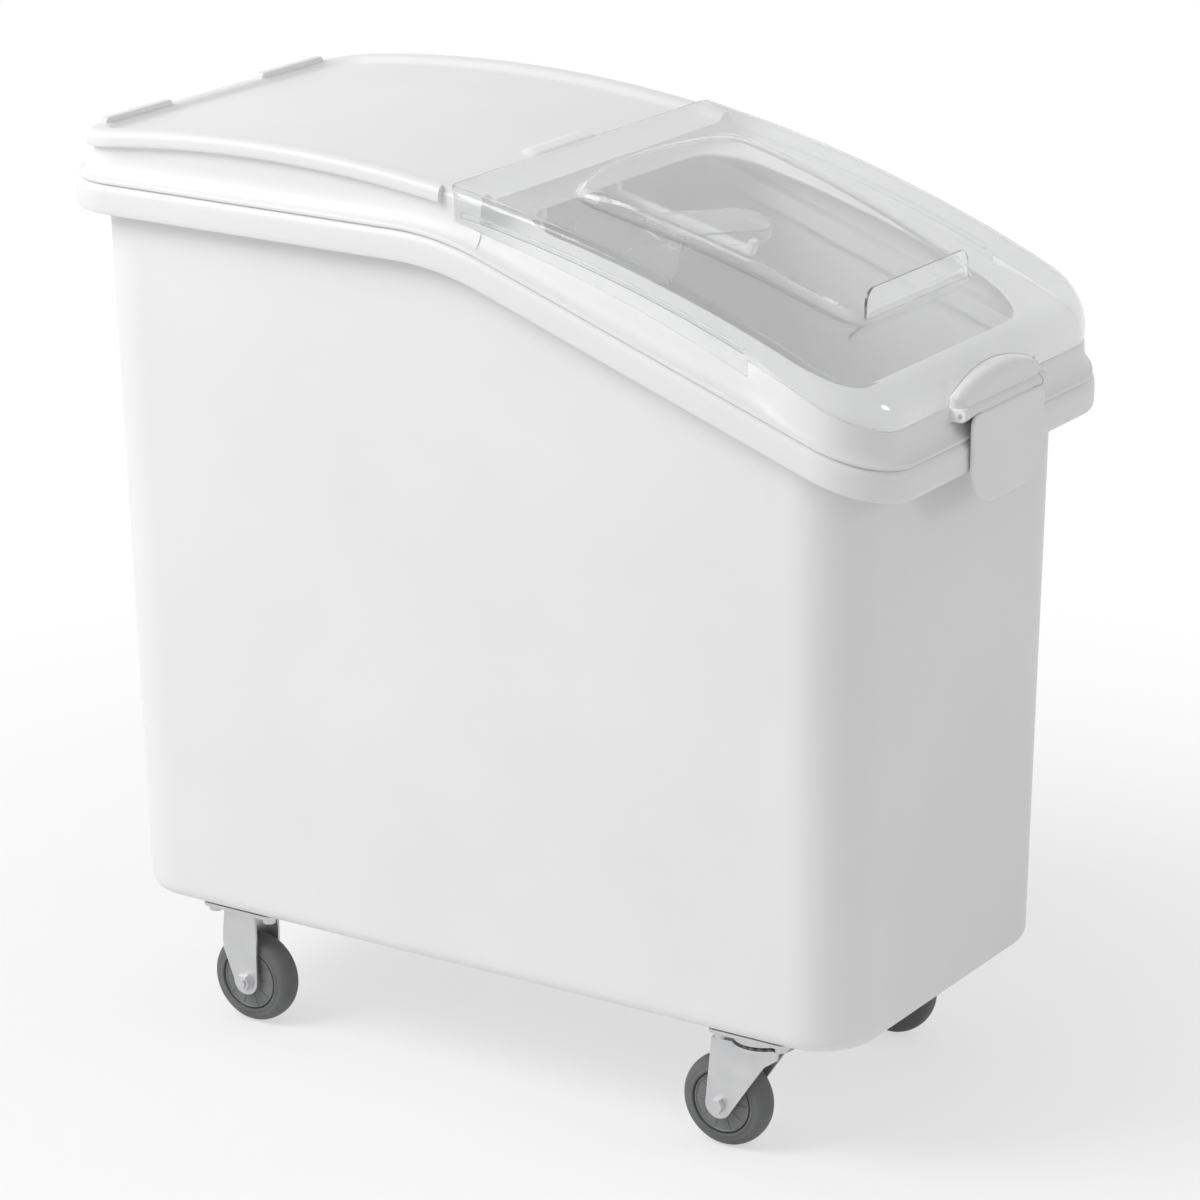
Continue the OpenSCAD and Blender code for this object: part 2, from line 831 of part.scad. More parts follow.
module lid_frame() {
    color(white)
    difference() {
        union() {
            hood();
            apron();
            seat();
            rails();
            rear_ribs();
            hump();
            latch_boss();
        }
        translate([0, 0, seam_z(mouth_front)])
            linear_extrude(far) outline(-mouth_rear, mouth_front, mouth_half, mouth_r);
        translate([pin_x, 0, pin_z])
            rotate([90, 0, 0]) cylinder(d = latch_pin_d + 2 * run_gap, h = 4 * latch_half, center = true);
    }
    color(white) scoop_rest();
}

// Clear lid: an arched shell with side skirts, a raised panel and an upright finger lip
stop_gap = 0.3;
front_drop = ledge_drop - 0.9;
skirt_end = shoulder_x - stop_gap;
// The side skirts end on an arc whose centre lies behind the lid's, so they deepen towards the front
skirt_sin_rear = (clear_rear - arc_x) / (lid_r - skirt_rear);
skirt_sin_front = (skirt_end - arc_x) / (lid_r - skirt_front);
skirt_back = (skirt_front - skirt_rear) / (skirt_sin_front - skirt_sin_rear);
skirt_arc_r = lid_r - skirt_rear + skirt_back * skirt_sin_rear;
clear_front = apron_front;

// Side profile and bulk of the lid, drawn t inside its outer face, with bevelled upper edges
module lid_profile(t) {
    c = clear_bevel - t * 0.6;
    x = clear_front - t;
    low = [x + 1, arc_top(x - c, t) - 1.6 * c - 1];
    high = [x - c - 1, arc_top(x - c, t) + 1];
    intersection() {
        disc(t);
        difference() {
            behind(x);
            polygon([low, [x + 1, high[1] + 10], [high[0], high[1] + 10], high]);
        }
    }
}
module lid_bulk(t) {
    difference() {
        intersection() {
            pillar(far, clear_front - t, clear_half - t, clear_corner_r - t);
            across() lid_profile(t);
        }
        edge_bevel(clear_half - t, t, clear_bevel - t * 0.6);
    }
}
module skirt_cut() {
    intersection() {
        translate([arc_x - skirt_back, arc_z]) circle(skirt_arc_r, $fn = 360);
        behind(skirt_end);
    }
    intersection() {
        disc(front_drop);
        ahead(skirt_end);
    }
}
// Outline of the raised panel: tapered sides and a bowed rear edge
panel_rear_x = 66;
panel_bow = 22;
module panel_outline(t) {
    bow_r = (pow(panel_half_rear, 2) + pow(panel_bow, 2)) / (2 * panel_bow);
    intersection() {
        polygon([[panel_rear_x - panel_bow, t - panel_half_rear], [finger_x - t, t - panel_half_front],
            [finger_x - t, panel_half_front - t], [panel_rear_x - panel_bow, panel_half_rear - t]]);
        translate([panel_rear_x - panel_bow + bow_r, 0]) circle(bow_r - t, $fn = 180);
    }
}
module panel_bulk(t) {
    intersection() {
        translate([0, 0, castor_h]) linear_extrude(far) panel_outline(t);
        across() disc(t - panel_rise);
    }
}
module finger_lip() {
    low = arc_top(finger_x, 0) - 1;
    high = arc_top(finger_x, -panel_rise) + finger_h;
    r = 12;
    translate([finger_x - clear_t, 0, low])
        rotate([90, 0, 90])
            linear_extrude(clear_t) {
                translate([-finger_half, 0]) square([2 * finger_half, high - low - r]);
                translate([r - finger_half, 0]) square([2 * (finger_half - r), high - low]);
                for (side = [-1, 1])
                    translate([side * (finger_half - r), high - low - r]) circle(r);
            }
}
// Lips inside the side skirts that run under the rails
lip_top = rail_drop + 0.5;
lip_h = 4;
lip_in = 4.2;
module hook_lips() {
    intersection() {
        across()
            intersection() {
                difference() {
                    disc(lip_top);
                    disc(lip_top + lip_h);
                }
                ahead(clear_rear + 12);
                behind(skirt_end - 4);
            }
        for (side = [-1, 1])
            translate([0, side * (clear_half - clear_t / 2 - lip_in / 2), 0])
                cube([far, lip_in + clear_t - 1, 3 * far], center = true);
    }
}
latch_gap = 2;
module clear_lid() {
    color(clear)
    difference() {
        union() {
            difference() {
                lid_bulk(0);
                lid_bulk(clear_t);
                across() skirt_cut();
            }
            difference() {
                panel_bulk(0);
                across() disc(clear_t / 2);
            }
            finger_lip();
            hook_lips();
        }
        panel_bulk(clear_t);
        across() behind(clear_rear);
        // Arched cut-out over the latch boss
        translate([clear_front - 8, 0, 0])
            rotate([90, 0, 90])
                linear_extrude(40)
                    intersection() {
                        translate([0, boss_top - boss_arc_r]) circle(boss_arc_r + latch_gap, $fn = 180);
                        translate([-boss_half - latch_gap, 0]) square([2 * (boss_half + latch_gap), far]);
                    }
    }
}

// Latch: a rounded shield that hangs from two pins, with a bead that snaps under the rim
latch_low = pin_z - latch_drop;
latch_in = rim_front + 1.4;
latch_high = pin_z - 2;
knuckle_r = 4.6;
bead_h = 5;
module latch() {
    low_r = 32;
    top_r = 8;
    color(white)
    difference() {
        union() {
            translate([latch_in, 0, 0])
                rotate([90, 0, 90])
                    linear_extrude(latch_t) {
                        translate([-latch_half, latch_low + low_r])
                            square([2 * latch_half, latch_high - latch_low - low_r - top_r]);
                        translate([low_r - latch_half, latch_low])
                            square([2 * (latch_half - low_r), latch_high - latch_low - top_r]);
                        translate([top_r - latch_half, latch_high - 2 * top_r])
                            square([2 * (latch_half - top_r), 2 * top_r]);
                        for (side = [-1, 1]) {
                            translate([side * (latch_half - low_r), latch_low + low_r]) circle(low_r);
                            translate([side * (latch_half - top_r), latch_high - top_r]) circle(top_r);
                        }
                    }
            translate([pin_x, 0, pin_z])
                rotate([90, 0, 0]) cylinder(r = knuckle_r, h = 2 * latch_half, center = true);
            translate([pin_x, -latch_half + top_r, pin_z - knuckle_r])
                cube([latch_in - pin_x + 1, 2 * (latch_half - top_r), knuckle_r]);
            translate([latch_in - 1, low_r - latch_half, seam_z(rim_front) - rim_h - bead_h - 1])
                cube([2, 2 * (latch_half - low_r), bead_h]);
        }
        translate([pin_x, 0, pin_z])
            rotate([90, 0, 0]) cylinder(d = latch_pin_d + 2 * run_gap, h = 4 * latch_half, center = true);
    }
}
pin_reach = 14;
module latch_pins() {
    color(zinc)
    for (side = [0, 1])
        mirror([0, side, 0])
            translate([pin_x, boss_half, pin_z])
                rotate([90, 0, 0]) cylinder(d = latch_pin_d, h = lug_t + lug_gap + pin_reach);
}

// Clear scoop on its rest: a flat-bottomed bowl, open at one end, with a channel handle
rest_gap = 0.3;
bowl_r = 18;
bowl_start = -130;
module bowl_section(t) {
    h = bowl_h + t;
    w = bowl_w - 2 * t;
    r = bowl_r - t;
    translate([-w / 2, r + t]) square([w, h - r]);
    translate([r - w / 2, t]) square([w - 2 * r, h - t]);
    for (side = [-1, 1])
        translate([side * (w / 2 - r), r + t]) circle(r);
}
module scoop() {
    color(clear)
    scoop_place()
        rotate(scoop_turn)
            translate([bowl_start, 0, rest_gap])
                difference() {
                    union() {
                        intersection() {
                            rotate([90, 0, 90]) linear_extrude(bowl_l) bowl_section(0);
                            rotate([90, 0, 0])
                                linear_extrude(2 * bowl_w, center = true)
                                    polygon([[0, 0], [bowl_l, 0], [bowl_l, bowl_h], [bowl_l * 0.45, bowl_h],
                                        [0, bowl_h * 0.35]]);
                        }
                        translate([bowl_l - 1, -handle_w / 2, bowl_h - handle_h])
                            cube([handle_l - handle_w / 2 + 1, handle_w, handle_h]);
                        translate([bowl_l + handle_l - handle_w / 2, 0, bowl_h - handle_h])
                            cylinder(d = handle_w, h = handle_h);
                    }
                    translate([-1, 0, 0]) rotate([90, 0, 90]) linear_extrude(bowl_l + 1 - scoop_t) bowl_section(scoop_t);
                    translate([bowl_l + 4, scoop_t - handle_w / 2, bowl_h - handle_h - 1])
                        cube([handle_l - handle_w / 2 - 4, handle_w - 2 * scoop_t, handle_h + 1 - scoop_t]);
                    translate([bowl_l + handle_l - handle_w / 2, 0, bowl_h - handle_h - 1])
                        cylinder(d = handle_w - 2 * scoop_t, h = handle_h + 1 - scoop_t);
                }
}

tub();
plate_screws();
plate_washers();
rear_castor(1) rigid_fork();  // rear_left_fork
rear_castor(1) axle_bolt(1);  // rear_left_axle_bolt
rear_castor(1) axle_nut(1);  // rear_left_axle_nut
rear_castor(1) axle_sleeve();  // rear_left_axle_sleeve
rear_castor(1) hub();  // rear_left_hub
rear_castor(1) tyre();  // rear_left_tyre
rear_castor(-1) rigid_fork();  // rear_right_fork
rear_castor(-1) axle_bolt(-1);  // rear_right_axle_bolt
rear_castor(-1) axle_nut(-1);  // rear_right_axle_nut
rear_castor(-1) axle_sleeve();  // rear_right_axle_sleeve
rear_castor(-1) hub();  // rear_right_hub
rear_castor(-1) tyre();  // rear_right_tyre
swivel_head(1) top_plate();  // front_left_top_plate
swivel_head(1) kingpin();  // front_left_kingpin
swivel_head(1) swivel_balls();  // front_left_swivel_balls
front_castor(1) swivel_fork();  // front_left_fork
front_castor(1) axle_bolt(-1);  // front_left_axle_bolt
front_castor(1) axle_nut(-1);  // front_left_axle_nut
front_castor(1) axle_sleeve();  // front_left_axle_sleeve
front_castor(1) hub();  // front_left_hub
front_castor(1) tyre();  // front_left_tyre
swivel_head(-1) top_plate();  // front_right_top_plate
swivel_head(-1) kingpin();  // front_right_kingpin
swivel_head(-1) swivel_balls();  // front_right_swivel_balls
front_castor(-1) swivel_fork();  // front_right_fork
front_castor(-1) axle_bolt(1);  // front_right_axle_bolt
front_castor(-1) axle_nut(1);  // front_right_axle_nut
front_castor(-1) axle_sleeve();  // front_right_axle_sleeve
front_castor(-1) hub();  // front_right_hub
front_castor(-1) tyre();  // front_right_tyre
lid_frame();
clear_lid();
latch();
latch_pins();
scoop();
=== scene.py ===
import json
import math
import bmesh
import bpy
import numpy as np
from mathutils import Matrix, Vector


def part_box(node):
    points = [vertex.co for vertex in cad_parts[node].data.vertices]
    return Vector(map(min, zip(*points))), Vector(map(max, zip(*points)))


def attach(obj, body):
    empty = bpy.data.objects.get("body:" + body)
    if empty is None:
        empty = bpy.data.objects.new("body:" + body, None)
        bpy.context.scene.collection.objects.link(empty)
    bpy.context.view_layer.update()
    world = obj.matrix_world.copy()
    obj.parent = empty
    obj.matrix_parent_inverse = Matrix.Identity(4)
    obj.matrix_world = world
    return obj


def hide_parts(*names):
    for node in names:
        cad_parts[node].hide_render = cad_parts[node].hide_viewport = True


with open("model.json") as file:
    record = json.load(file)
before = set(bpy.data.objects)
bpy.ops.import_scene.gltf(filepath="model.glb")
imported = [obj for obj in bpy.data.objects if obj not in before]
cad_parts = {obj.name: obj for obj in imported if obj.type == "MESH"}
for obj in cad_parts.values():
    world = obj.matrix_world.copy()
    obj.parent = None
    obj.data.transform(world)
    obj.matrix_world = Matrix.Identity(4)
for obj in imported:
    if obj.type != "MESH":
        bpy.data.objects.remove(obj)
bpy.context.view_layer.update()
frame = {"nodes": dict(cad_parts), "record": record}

# Studio: a white sweep, lit by a large soft lamp high on the left and a small card beyond the bin's front. The
# camera stands where the photograph was taken, to the right of the bin's front and above it, with a long lens.
scene = bpy.context.scene
scene.view_settings.view_transform = "Standard"
eye = Vector((1.92058, -2.97122, 1.52218))
aim = Vector((0.01517, 0, 0.37029))
camera = bpy.data.objects.new("camera", bpy.data.cameras.new("camera"))
camera.data.lens = 140.12
camera.location = eye
camera.rotation_euler = (aim - eye).to_track_quat("-Z", "Y").to_euler()
scene.collection.objects.link(camera)
scene.camera = camera


class Wire:
    """A socket of a node tree. Sums and products of wires add Math nodes, and node() adds any other node."""

    def __init__(self, socket):
        self.socket = socket

    def node(self, kind, settings, inputs, output=0):
        tree = self.socket.id_data
        made = tree.nodes.new(kind)
        for key, value in settings.items():
            if key == "stops":
                for _ in range(len(value) - 2):
                    made.color_ramp.elements.new(1)
                for element, (place, colour) in zip(made.color_ramp.elements, value):
                    element.position, element.color = place, colour
            else:
                setattr(made, key, value)
        for key, value in inputs.items():
            if isinstance(value, Wire):
                tree.links.new(value.socket, made.inputs[key])
            else:
                made.inputs[key].default_value = value
        return Wire(made.outputs[output])

    def maths(self, operation, a, b):
        return self.node("ShaderNodeMath", {"operation": operation}, {0: a, 1: b})

    def __add__(self, other):
        return self.maths("ADD", self, other)

    def __sub__(self, other):
        return self.maths("SUBTRACT", self, other)

    def __rsub__(self, other):
        return self.maths("SUBTRACT", other, self)

    def __mul__(self, other):
        return self.maths("MULTIPLY", self, other)

    def __truediv__(self, other):
        return self.maths("DIVIDE", self, other)

    def __rtruediv__(self, other):
        return self.maths("DIVIDE", other, self)

    __radd__ = __add__
    __rmul__ = __mul__


def seen_rays(tree):
    """1 for rays from the camera, from a mirror or through glass, and 0 for rays that only carry light."""
    path = tree.nodes.new("ShaderNodeLightPath")
    camera_ray, mirror_ray, glass_ray = (
        Wire(path.outputs[key]) for key in ("Is Camera Ray", "Is Glossy Ray", "Is Transmission Ray"))
    return camera_ray.maths("MAXIMUM", camera_ray.maths("MAXIMUM", camera_ray, mirror_ray), glass_ray)


ambient = 0.47
scene.world = bpy.data.worlds.new("studio")
scene.world.use_nodes = True
backdrop = scene.world.node_tree.nodes["Background"]
backdrop.inputs["Color"].default_value = (1, 1, 1, 1)
sky = seen_rays(scene.world.node_tree) * (1 - ambient) + ambient
scene.world.node_tree.links.new(sky.socket, backdrop.inputs["Strength"])

floor_half, shade_near, shade_far, shade_share = 9, 0.3, 1.3, 0.58
floor_corners = [(x * floor_half, y * floor_half, 0) for x, y in ((-1, -1), (1, -1), (1, 1), (-1, 1))]
floor_mesh = bpy.data.meshes.new("floor")
floor_mesh.from_pydata(floor_corners, [], [(0, 1, 2, 3)])
floor = bpy.data.objects.new("floor", floor_mesh)
scene.collection.objects.link(floor)
sweep = bpy.data.materials.new("white_sweep")
sweep.use_nodes = True
paper = sweep.node_tree.nodes["Principled BSDF"]
paper.inputs["Base Color"].default_value = (0.9, 0.9, 0.9, 1)
paper.inputs["Roughness"].default_value = 0.9
paper_place = Wire(sweep.node_tree.nodes.new("ShaderNodeTexCoord").outputs["Object"])
paper_far = paper_place.node("ShaderNodeVectorMath", {"operation": "LENGTH"}, {0: paper_place}, "Value")
paper_share = paper_far.node("ShaderNodeMapRange", {"interpolation_type": "SMOOTHSTEP"}, {
    "Value": paper_far, "From Min": shade_near, "From Max": shade_far, "To Min": shade_share, "To Max": 1.0})
paper_seen = seen_rays(sweep.node_tree) * paper_share
paper_glow = paper_seen.node("ShaderNodeEmission", {}, {"Strength": 1.0})
paper_mix = paper_seen.node(
    "ShaderNodeMixShader", {}, {0: paper_seen, 1: Wire(paper.outputs[0]), 2: paper_glow})
sweep.node_tree.links.new(paper_mix.socket, sweep.node_tree.nodes["Material Output"].inputs["Surface"])
floor_mesh.materials.append(sweep)

lamp_aim = Vector((0, 0, 0.4))
for name, place, size, power in (("window", (-2.0, -2.3, 3.2), 2.2, 98), ("front_card", (2.9, 1.5, 1.5), 0.5, 7)):
    lamp = bpy.data.lights.new(name, "AREA")
    lamp.size = size
    lamp.energy = power
    stand = bpy.data.objects.new(name, lamp)
    stand.location = place
    stand.rotation_euler = (lamp_aim - stand.location).to_track_quat("-Z", "Y").to_euler()
    scene.collection.objects.link(stand)

# Tub: one white polyethylene moulding with leaning walls, rounded corners and a rim whose lip hangs outside.
# Its mouth runs level at the rear and slopes down to the front. Sizes are in millimetres.
castor_h, tub_h, seam_h = 104, 599, 703
tub_rear, tub_front, tub_half, corner_r = 340.5, 337.5, 164, 50
rear_draft, front_draft, side_draft = 11.3, 3, 14.3
tub_wall, floor_t, bottom_r, inner_r = 4.5, 10, 12, 10.5
rim_rear, rim_front, rim_half, rim_r, rim_h, rim_t = 376.8, 371.5, 192, 57, 24, 4.5
bend_x, bend_half, fall = -8, 40, math.tan(math.radians(19.4))
bend_xs = [bend_x + bend_half * (1 - i / 8) for i in range(17)]
tub_xs = [282, 240, 180, 120, 80, 52] + bend_xs + [-70, -120, -180, -240, -285]


def seam(x):
    """Height of the seam between rim and lid frame."""
    u = np.asarray(x, float) - bend_x
    curve = seam_h - fall * (u + bend_half) ** 2 / (4 * bend_half)
    return np.where(u <= -bend_half, seam_h, np.where(u >= bend_half, seam_h - fall * u, curve))


def outline(rear, front, half, r, xs):
    """Points round a rounded rectangle, seen from above and counter-clockwise from the front left corner."""
    turn = [math.radians(a) for a in np.linspace(0, 90, 17)]
    ends = [0.96, 0.6, 0.2, -0.2, -0.6, -0.96]
    left = [(front - r + r * math.cos(a), half - r + r * math.sin(a)) for a in turn]
    left += [(x, half) for x in xs]
    left += [(r - rear - r * math.sin(a), half - r + r * math.cos(a)) for a in turn]
    back = [(-rear, t * (half - r)) for t in ends]
    right = [(x, -y) for x, y in reversed(left)]
    nose = [(front, -t * (half - r)) for t in ends]
    return np.array(left + back + right + nose)


def at_height(plan, z):
    return np.column_stack([plan, np.broadcast_to(z, len(plan))])


def tub_level(z, grow):
    """Loop round the tub's wall at height z, grown outwards; z may differ from point to point."""
    k = (np.broadcast_to(z, len(outline(1, 1, 1, 0, tub_xs))) - castor_h) / tub_h
    low, high = (outline(tub_rear + s * rear_draft + grow, tub_front + s * front_draft + grow,
                         tub_half + s * side_draft + grow, corner_r + grow, tub_xs) for s in (0, 1))
    return at_height(low + (high - low) * k[:, None], z)


def tub_seam(drop, grow):
    return tub_level(seam(tub_level(seam_h, grow)[:, 0]) - drop, grow)


def rim_loop(drop, inset):
    plan = outline(rim_rear - inset, rim_front - inset, rim_half - inset, rim_r - inset, tub_xs)
    return at_height(plan, seam(plan[:, 0]) - drop)


def between(low, high, shares):
    return [low + (high - low) * share for share in shares]


def skin(loops, closed=False):
    """Points and faces of a solid over a stack of loops; a closed stack is a ring with no caps."""
    n, rows = len(loops[0]), len(loops)
    faces = []
    for i in range(rows if closed else rows - 1):
        a, b = i * n, (i + 1) % rows * n
        faces += [(a + j, a + (j + 1) % n, b + (j + 1) % n, b + j) for j in range(n)]
    if not closed:
        faces += [tuple(range(n))[::-1], tuple((rows - 1) * n + j for j in range(n))]
    return np.concatenate(loops), faces


def joined(solids):
    """Points and faces of several solids together."""
    points, faces = [], []
    for solid_points, solid_faces in solids:
        faces += [tuple(len(points) + i for i in face) for face in solid_faces]
        points += [tuple(p) for p in solid_points]
    return points, faces


def make_piece(name, body, finish, nodes, solids):
    """Joins closed solids in millimetres into one smooth object that rides on a body and stands for nodes.
    Weighted normals keep its large faces flat up to their rounded edges."""
    points, faces = joined(solids)
    mesh = bpy.data.meshes.new(name)
    mesh.from_pydata([tuple(p) for p in np.array(points) * 0.001], [], faces)
    work = bmesh.new()
    work.from_mesh(mesh)
    bmesh.ops.recalc_face_normals(work, faces=work.faces)
    for face in work.faces:
        face.smooth = True
    work.to_mesh(mesh)
    work.free()
    mesh.set_sharp_from_angle(angle=math.radians(35))
    mesh.materials.append(finish)
    thing = bpy.data.objects.new(name, mesh)
    scene.collection.objects.link(thing)
    thing.modifiers.new("flat_faces", "WEIGHTED_NORMAL").keep_sharp = True
    thing.data = bpy.data.meshes.new_from_object(thing.evaluated_get(bpy.context.evaluated_depsgraph_get()))
    thing.modifiers.clear()
    bpy.data.meshes.remove(mesh)
    thing.data.name = name
    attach(thing, body)
    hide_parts(*nodes)
    return thing


def start_finish(name, values):
    """A new material, its Principled node with plain values set, and its Object coordinates as a wire."""
    material = bpy.data.materials.new(name)
    material.use_nodes = True
    shader = material.node_tree.nodes["Principled BSDF"]
    for key, value in values.items():
        shader.inputs[key].default_value = value
    return material, shader, Wire(material.node_tree.nodes.new("ShaderNodeTexCoord").outputs["Object"])


def feed(shader, wires):
    for key, wire in wires.items():
        shader.id_data.links.new(wire.socket, shader.inputs[key])


def noise(place, scale, detail=2.0):
    return place.node("ShaderNodeTexNoise", {}, {"Vector": place, "Scale": scale, "Detail": detail})


def ramp(wire, low, high):
    """Colour between two tones as the wire goes from 0 to 1."""
    return wire.node("ShaderNodeValToRGB", {"stops": ((0.3, (*low, 1)), (0.7, (*high, 1)))}, {"Fac": wire})


def bump(height, depth, strength):
    return height.node("ShaderNodeBump", {}, {"Height": height, "Distance": depth, "Strength": strength})


white_plastic, shader, place = start_finish("white_plastic", {"IOR": 1.5})
cloud, skin_grain = noise(place, 6.0), noise(place, 900.0, 3.0)
feed(shader, {
    "Base Color": ramp(cloud, (0.852, 0.852, 0.852), (0.882, 0.882, 0.880)),
    "Roughness": cloud * 0.06 + skin_grain * 0.10 + 0.34,
    "Normal": bump(skin_grain * 0.5 + cloud * 0.5, 0.0006, 0.10),
})

fillet = [0, 18, 36, 54, 72, 90]


def turn_in(r, a):
    """Inset and drop along a quarter round of radius r."""
    return r * (1 - math.cos(math.radians(a))), r * (1 - math.sin(math.radians(a)))


tub_loops = [tub_level(castor_h, -bottom_r - 8)]
tub_loops += [tub_level(castor_h + turn_in(bottom_r, a)[0], -turn_in(bottom_r, a)[1]) for a in fillet]
tub_loops += between(tub_level(castor_h + bottom_r, 0), tub_seam(7.5, 0), [0.008, 0.04, 0.2, 0.45, 0.7, 0.9, 0.985])
tub_loops += [tub_seam(rim_t + turn_in(3, a)[1], turn_in(3, a)[0]) for a in (0, 30, 60, 90)]
tub_loops += [rim_loop(rim_t, rim_t + 2), rim_loop(rim_t + 2, rim_t), rim_loop(rim_h - 6, rim_t)]
tub_loops += [rim_loop(rim_h - 2.2, 4.4), rim_loop(rim_h - 0.6, 3.8)]
tub_loops += [rim_loop(rim_h, 2.4), rim_loop(rim_h - 0.4, 1.2)]
tub_loops += [rim_loop(rim_h - 2, 0.5), rim_loop(rim_h - 5, 0.12), rim_loop(13, 0), rim_loop(9, 0.05)]
tub_loops += [rim_loop(turn_in(7, a)[1], 0.15 + turn_in(7, a)[0]) for a in fillet]
tub_loops += [rim_loop(0, 10), tub_seam(0, 1), tub_seam(0, -3), tub_seam(0.5, -4.1)]
tub_loops += [tub_seam(1.5, -tub_wall), tub_seam(5, -tub_wall)]
floor_top = castor_h + floor_t
tub_loops += between(
    tub_seam(5, -tub_wall), tub_level(floor_top + inner_r, -tub_wall), [0.1, 0.35, 0.65, 0.93, 0.99])
tub_loops += [tub_level(floor_top + turn_in(inner_r, a)[0], -tub_wall - turn_in(inner_r, a)[1])
              for a in reversed(fillet)]
tub_loops += [tub_level(floor_top, -tub_wall - inner_r - 8)]
make_piece("tub_shell", "bin", white_plastic, ["tub"], [skin(tub_loops)])

# Castors: zinc-plated pressed forks and plates, screwed from below into the tub's thick floor, with grey rubber
# tyres moulded on ribbed plastic hubs. The rear pair is rigid and the front pair swivels on a ring of balls.
zinc_steel, shader, place = start_finish("zinc_steel", {"Metallic": 0.85, "Anisotropic": 0.2})
spangle, polish = noise(place, 45.0), noise(place, 900.0, 3.0)
feed(shader, {
    "Base Color": ramp(spangle, (0.600, 0.603, 0.610), (0.650, 0.652, 0.658)),
    "Roughness": spangle * 0.10 + polish * 0.10 + 0.30,
    "Normal": bump(polish, 0.0002, 0.08),
})
grey_plastic, shader, place = start_finish("grey_plastic", {})
cloud, skin_grain = noise(place, 30.0), noise(place, 1200.0, 3.0)
feed(shader, {
    "Base Color": ramp(cloud, (0.172, 0.174, 0.177), (0.202, 0.204, 0.207)),
    "Roughness": skin_grain * 0.2 + 0.38,
    "Normal": bump(skin_grain, 0.0004, 0.15),
})
grey_rubber, shader, place = start_finish("grey_rubber", {"Specular IOR Level": 0.35})
cloud, skin_grain = noise(place, 40.0), noise(place, 1500.0, 4.0)
feed(shader, {
    "Base Color": ramp(cloud, (0.132, 0.134, 0.137), (0.162, 0.164, 0.167)),
    "Roughness": skin_grain * 0.25 + 0.48,
    "Normal": bump(skin_grain, 0.0005, 0.2),
})


def taken(work, scale=1):
    """Points and faces of a finished bmesh, which is then freed."""
    work.verts.index_update()
    points = [tuple(vert.co * scale) for vert in work.verts]
    faces = [tuple(vert.index for vert in face.verts) for face in work.faces]
    work.free()
    return points, faces


def softened(node, soft):
    """A copy of a CAD node with its sharp edges rounded, as points in millimetres and faces."""
    work = bmesh.new()
    work.from_mesh(frame["nodes"][node].data)
    bmesh.ops.remove_doubles(work, verts=work.verts, dist=2e-6)
    bmesh.ops.dissolve_limit(work, angle_limit=math.radians(1), verts=work.verts, edges=work.edges)
    edges = [e for e in work.edges if len(e.link_faces) == 2 and e.calc_face_angle(0) > math.radians(40)]
    bmesh.ops.bevel(work, geom=edges, offset=soft * 0.001, segments=2, profile=0.5, affect="EDGES",
                    clamp_overlap=True)
    return taken(work, 1000)


def lathe(profile, centre):
    """Ring turned about an axle along Y, from half an outline of radius and place on the axle, mirrored."""
    turn = np.linspace(0, math.tau, 96, endpoint=False)
    whole = profile + [(r, -y) for r, y in reversed(profile)]
    return skin([np.column_stack([centre[0] + r * np.cos(turn), np.full(len(turn), centre[1] + y),
                                  centre[2] + r * np.sin(turn)]) for r, y in whole], closed=True)


def start_tree(name, inputs):
    """A new Geometry Nodes tree with its named inputs as wires, after the piece that it repeats."""
    tree = bpy.data.node_groups.new(name, "GeometryNodeTree")
    for label, kind in [("Piece", "Object")] + inputs + [("Finish", "Material")]:
        tree.interface.new_socket(label, in_out="INPUT", socket_type="NodeSocket" + kind)
    tree.interface.new_socket("Pieces", in_out="OUTPUT", socket_type="NodeSocketGeometry")
    given = [Wire(socket) for socket in list(tree.nodes.new("NodeGroupInput").outputs)[:-1]]
    shape = given[0].node("GeometryNodeObjectInfo", {}, {"Object": given[0]}, "Geometry")
    return tree, shape, given


def end_tree(tree, copies, finish):
    whole = copies.node("GeometryNodeRealizeInstances", {}, {"Geometry": copies})
    painted = whole.node("GeometryNodeSetMaterial", {}, {"Geometry": whole, "Material": finish})
    tree.links.new(painted.socket, tree.nodes.new("NodeGroupOutput").inputs[0])


ring_tree, shape, (_, count, radius, finish) = start_tree("ring_of_pieces", [("Count", "Int"), ("Radius", "Float")])
ring = count.node("GeometryNodeMeshCircle", {}, {"Vertices": count, "Radius": radius})
angle = count.node("GeometryNodeInputIndex", {}, {}) * math.tau / count
turned = angle.node("ShaderNodeCombineXYZ", {}, {"Z": angle})
turned = angle.node("FunctionNodeEulerToRotation", {}, {"Euler": turned})
end_tree(ring_tree, ring.node("GeometryNodeInstanceOnPoints", {}, {
    "Points": ring, "Instance": shape, "Rotation": turned}), finish)

plate_tree, shape, (_, long, wide, hole_x, hole_y, finish) = start_tree("screws_of_four_plates", [
    ("Castors along", "Float"), ("Castors across", "Float"), ("Holes along", "Float"), ("Holes across", "Float")])
plates, holes = (long.node("GeometryNodeMeshGrid", {}, {
    "Size X": a, "Size Y": b, "Vertices X": 2, "Vertices Y": 2}) for a, b in ((long, wide), (hole_x, hole_y)))
screws = holes.node("GeometryNodeInstanceOnPoints", {}, {"Points": holes, "Instance": shape})
end_tree(plate_tree, holes.node("GeometryNodeInstanceOnPoints", {}, {"Points": plates, "Instance": screws}), finish)


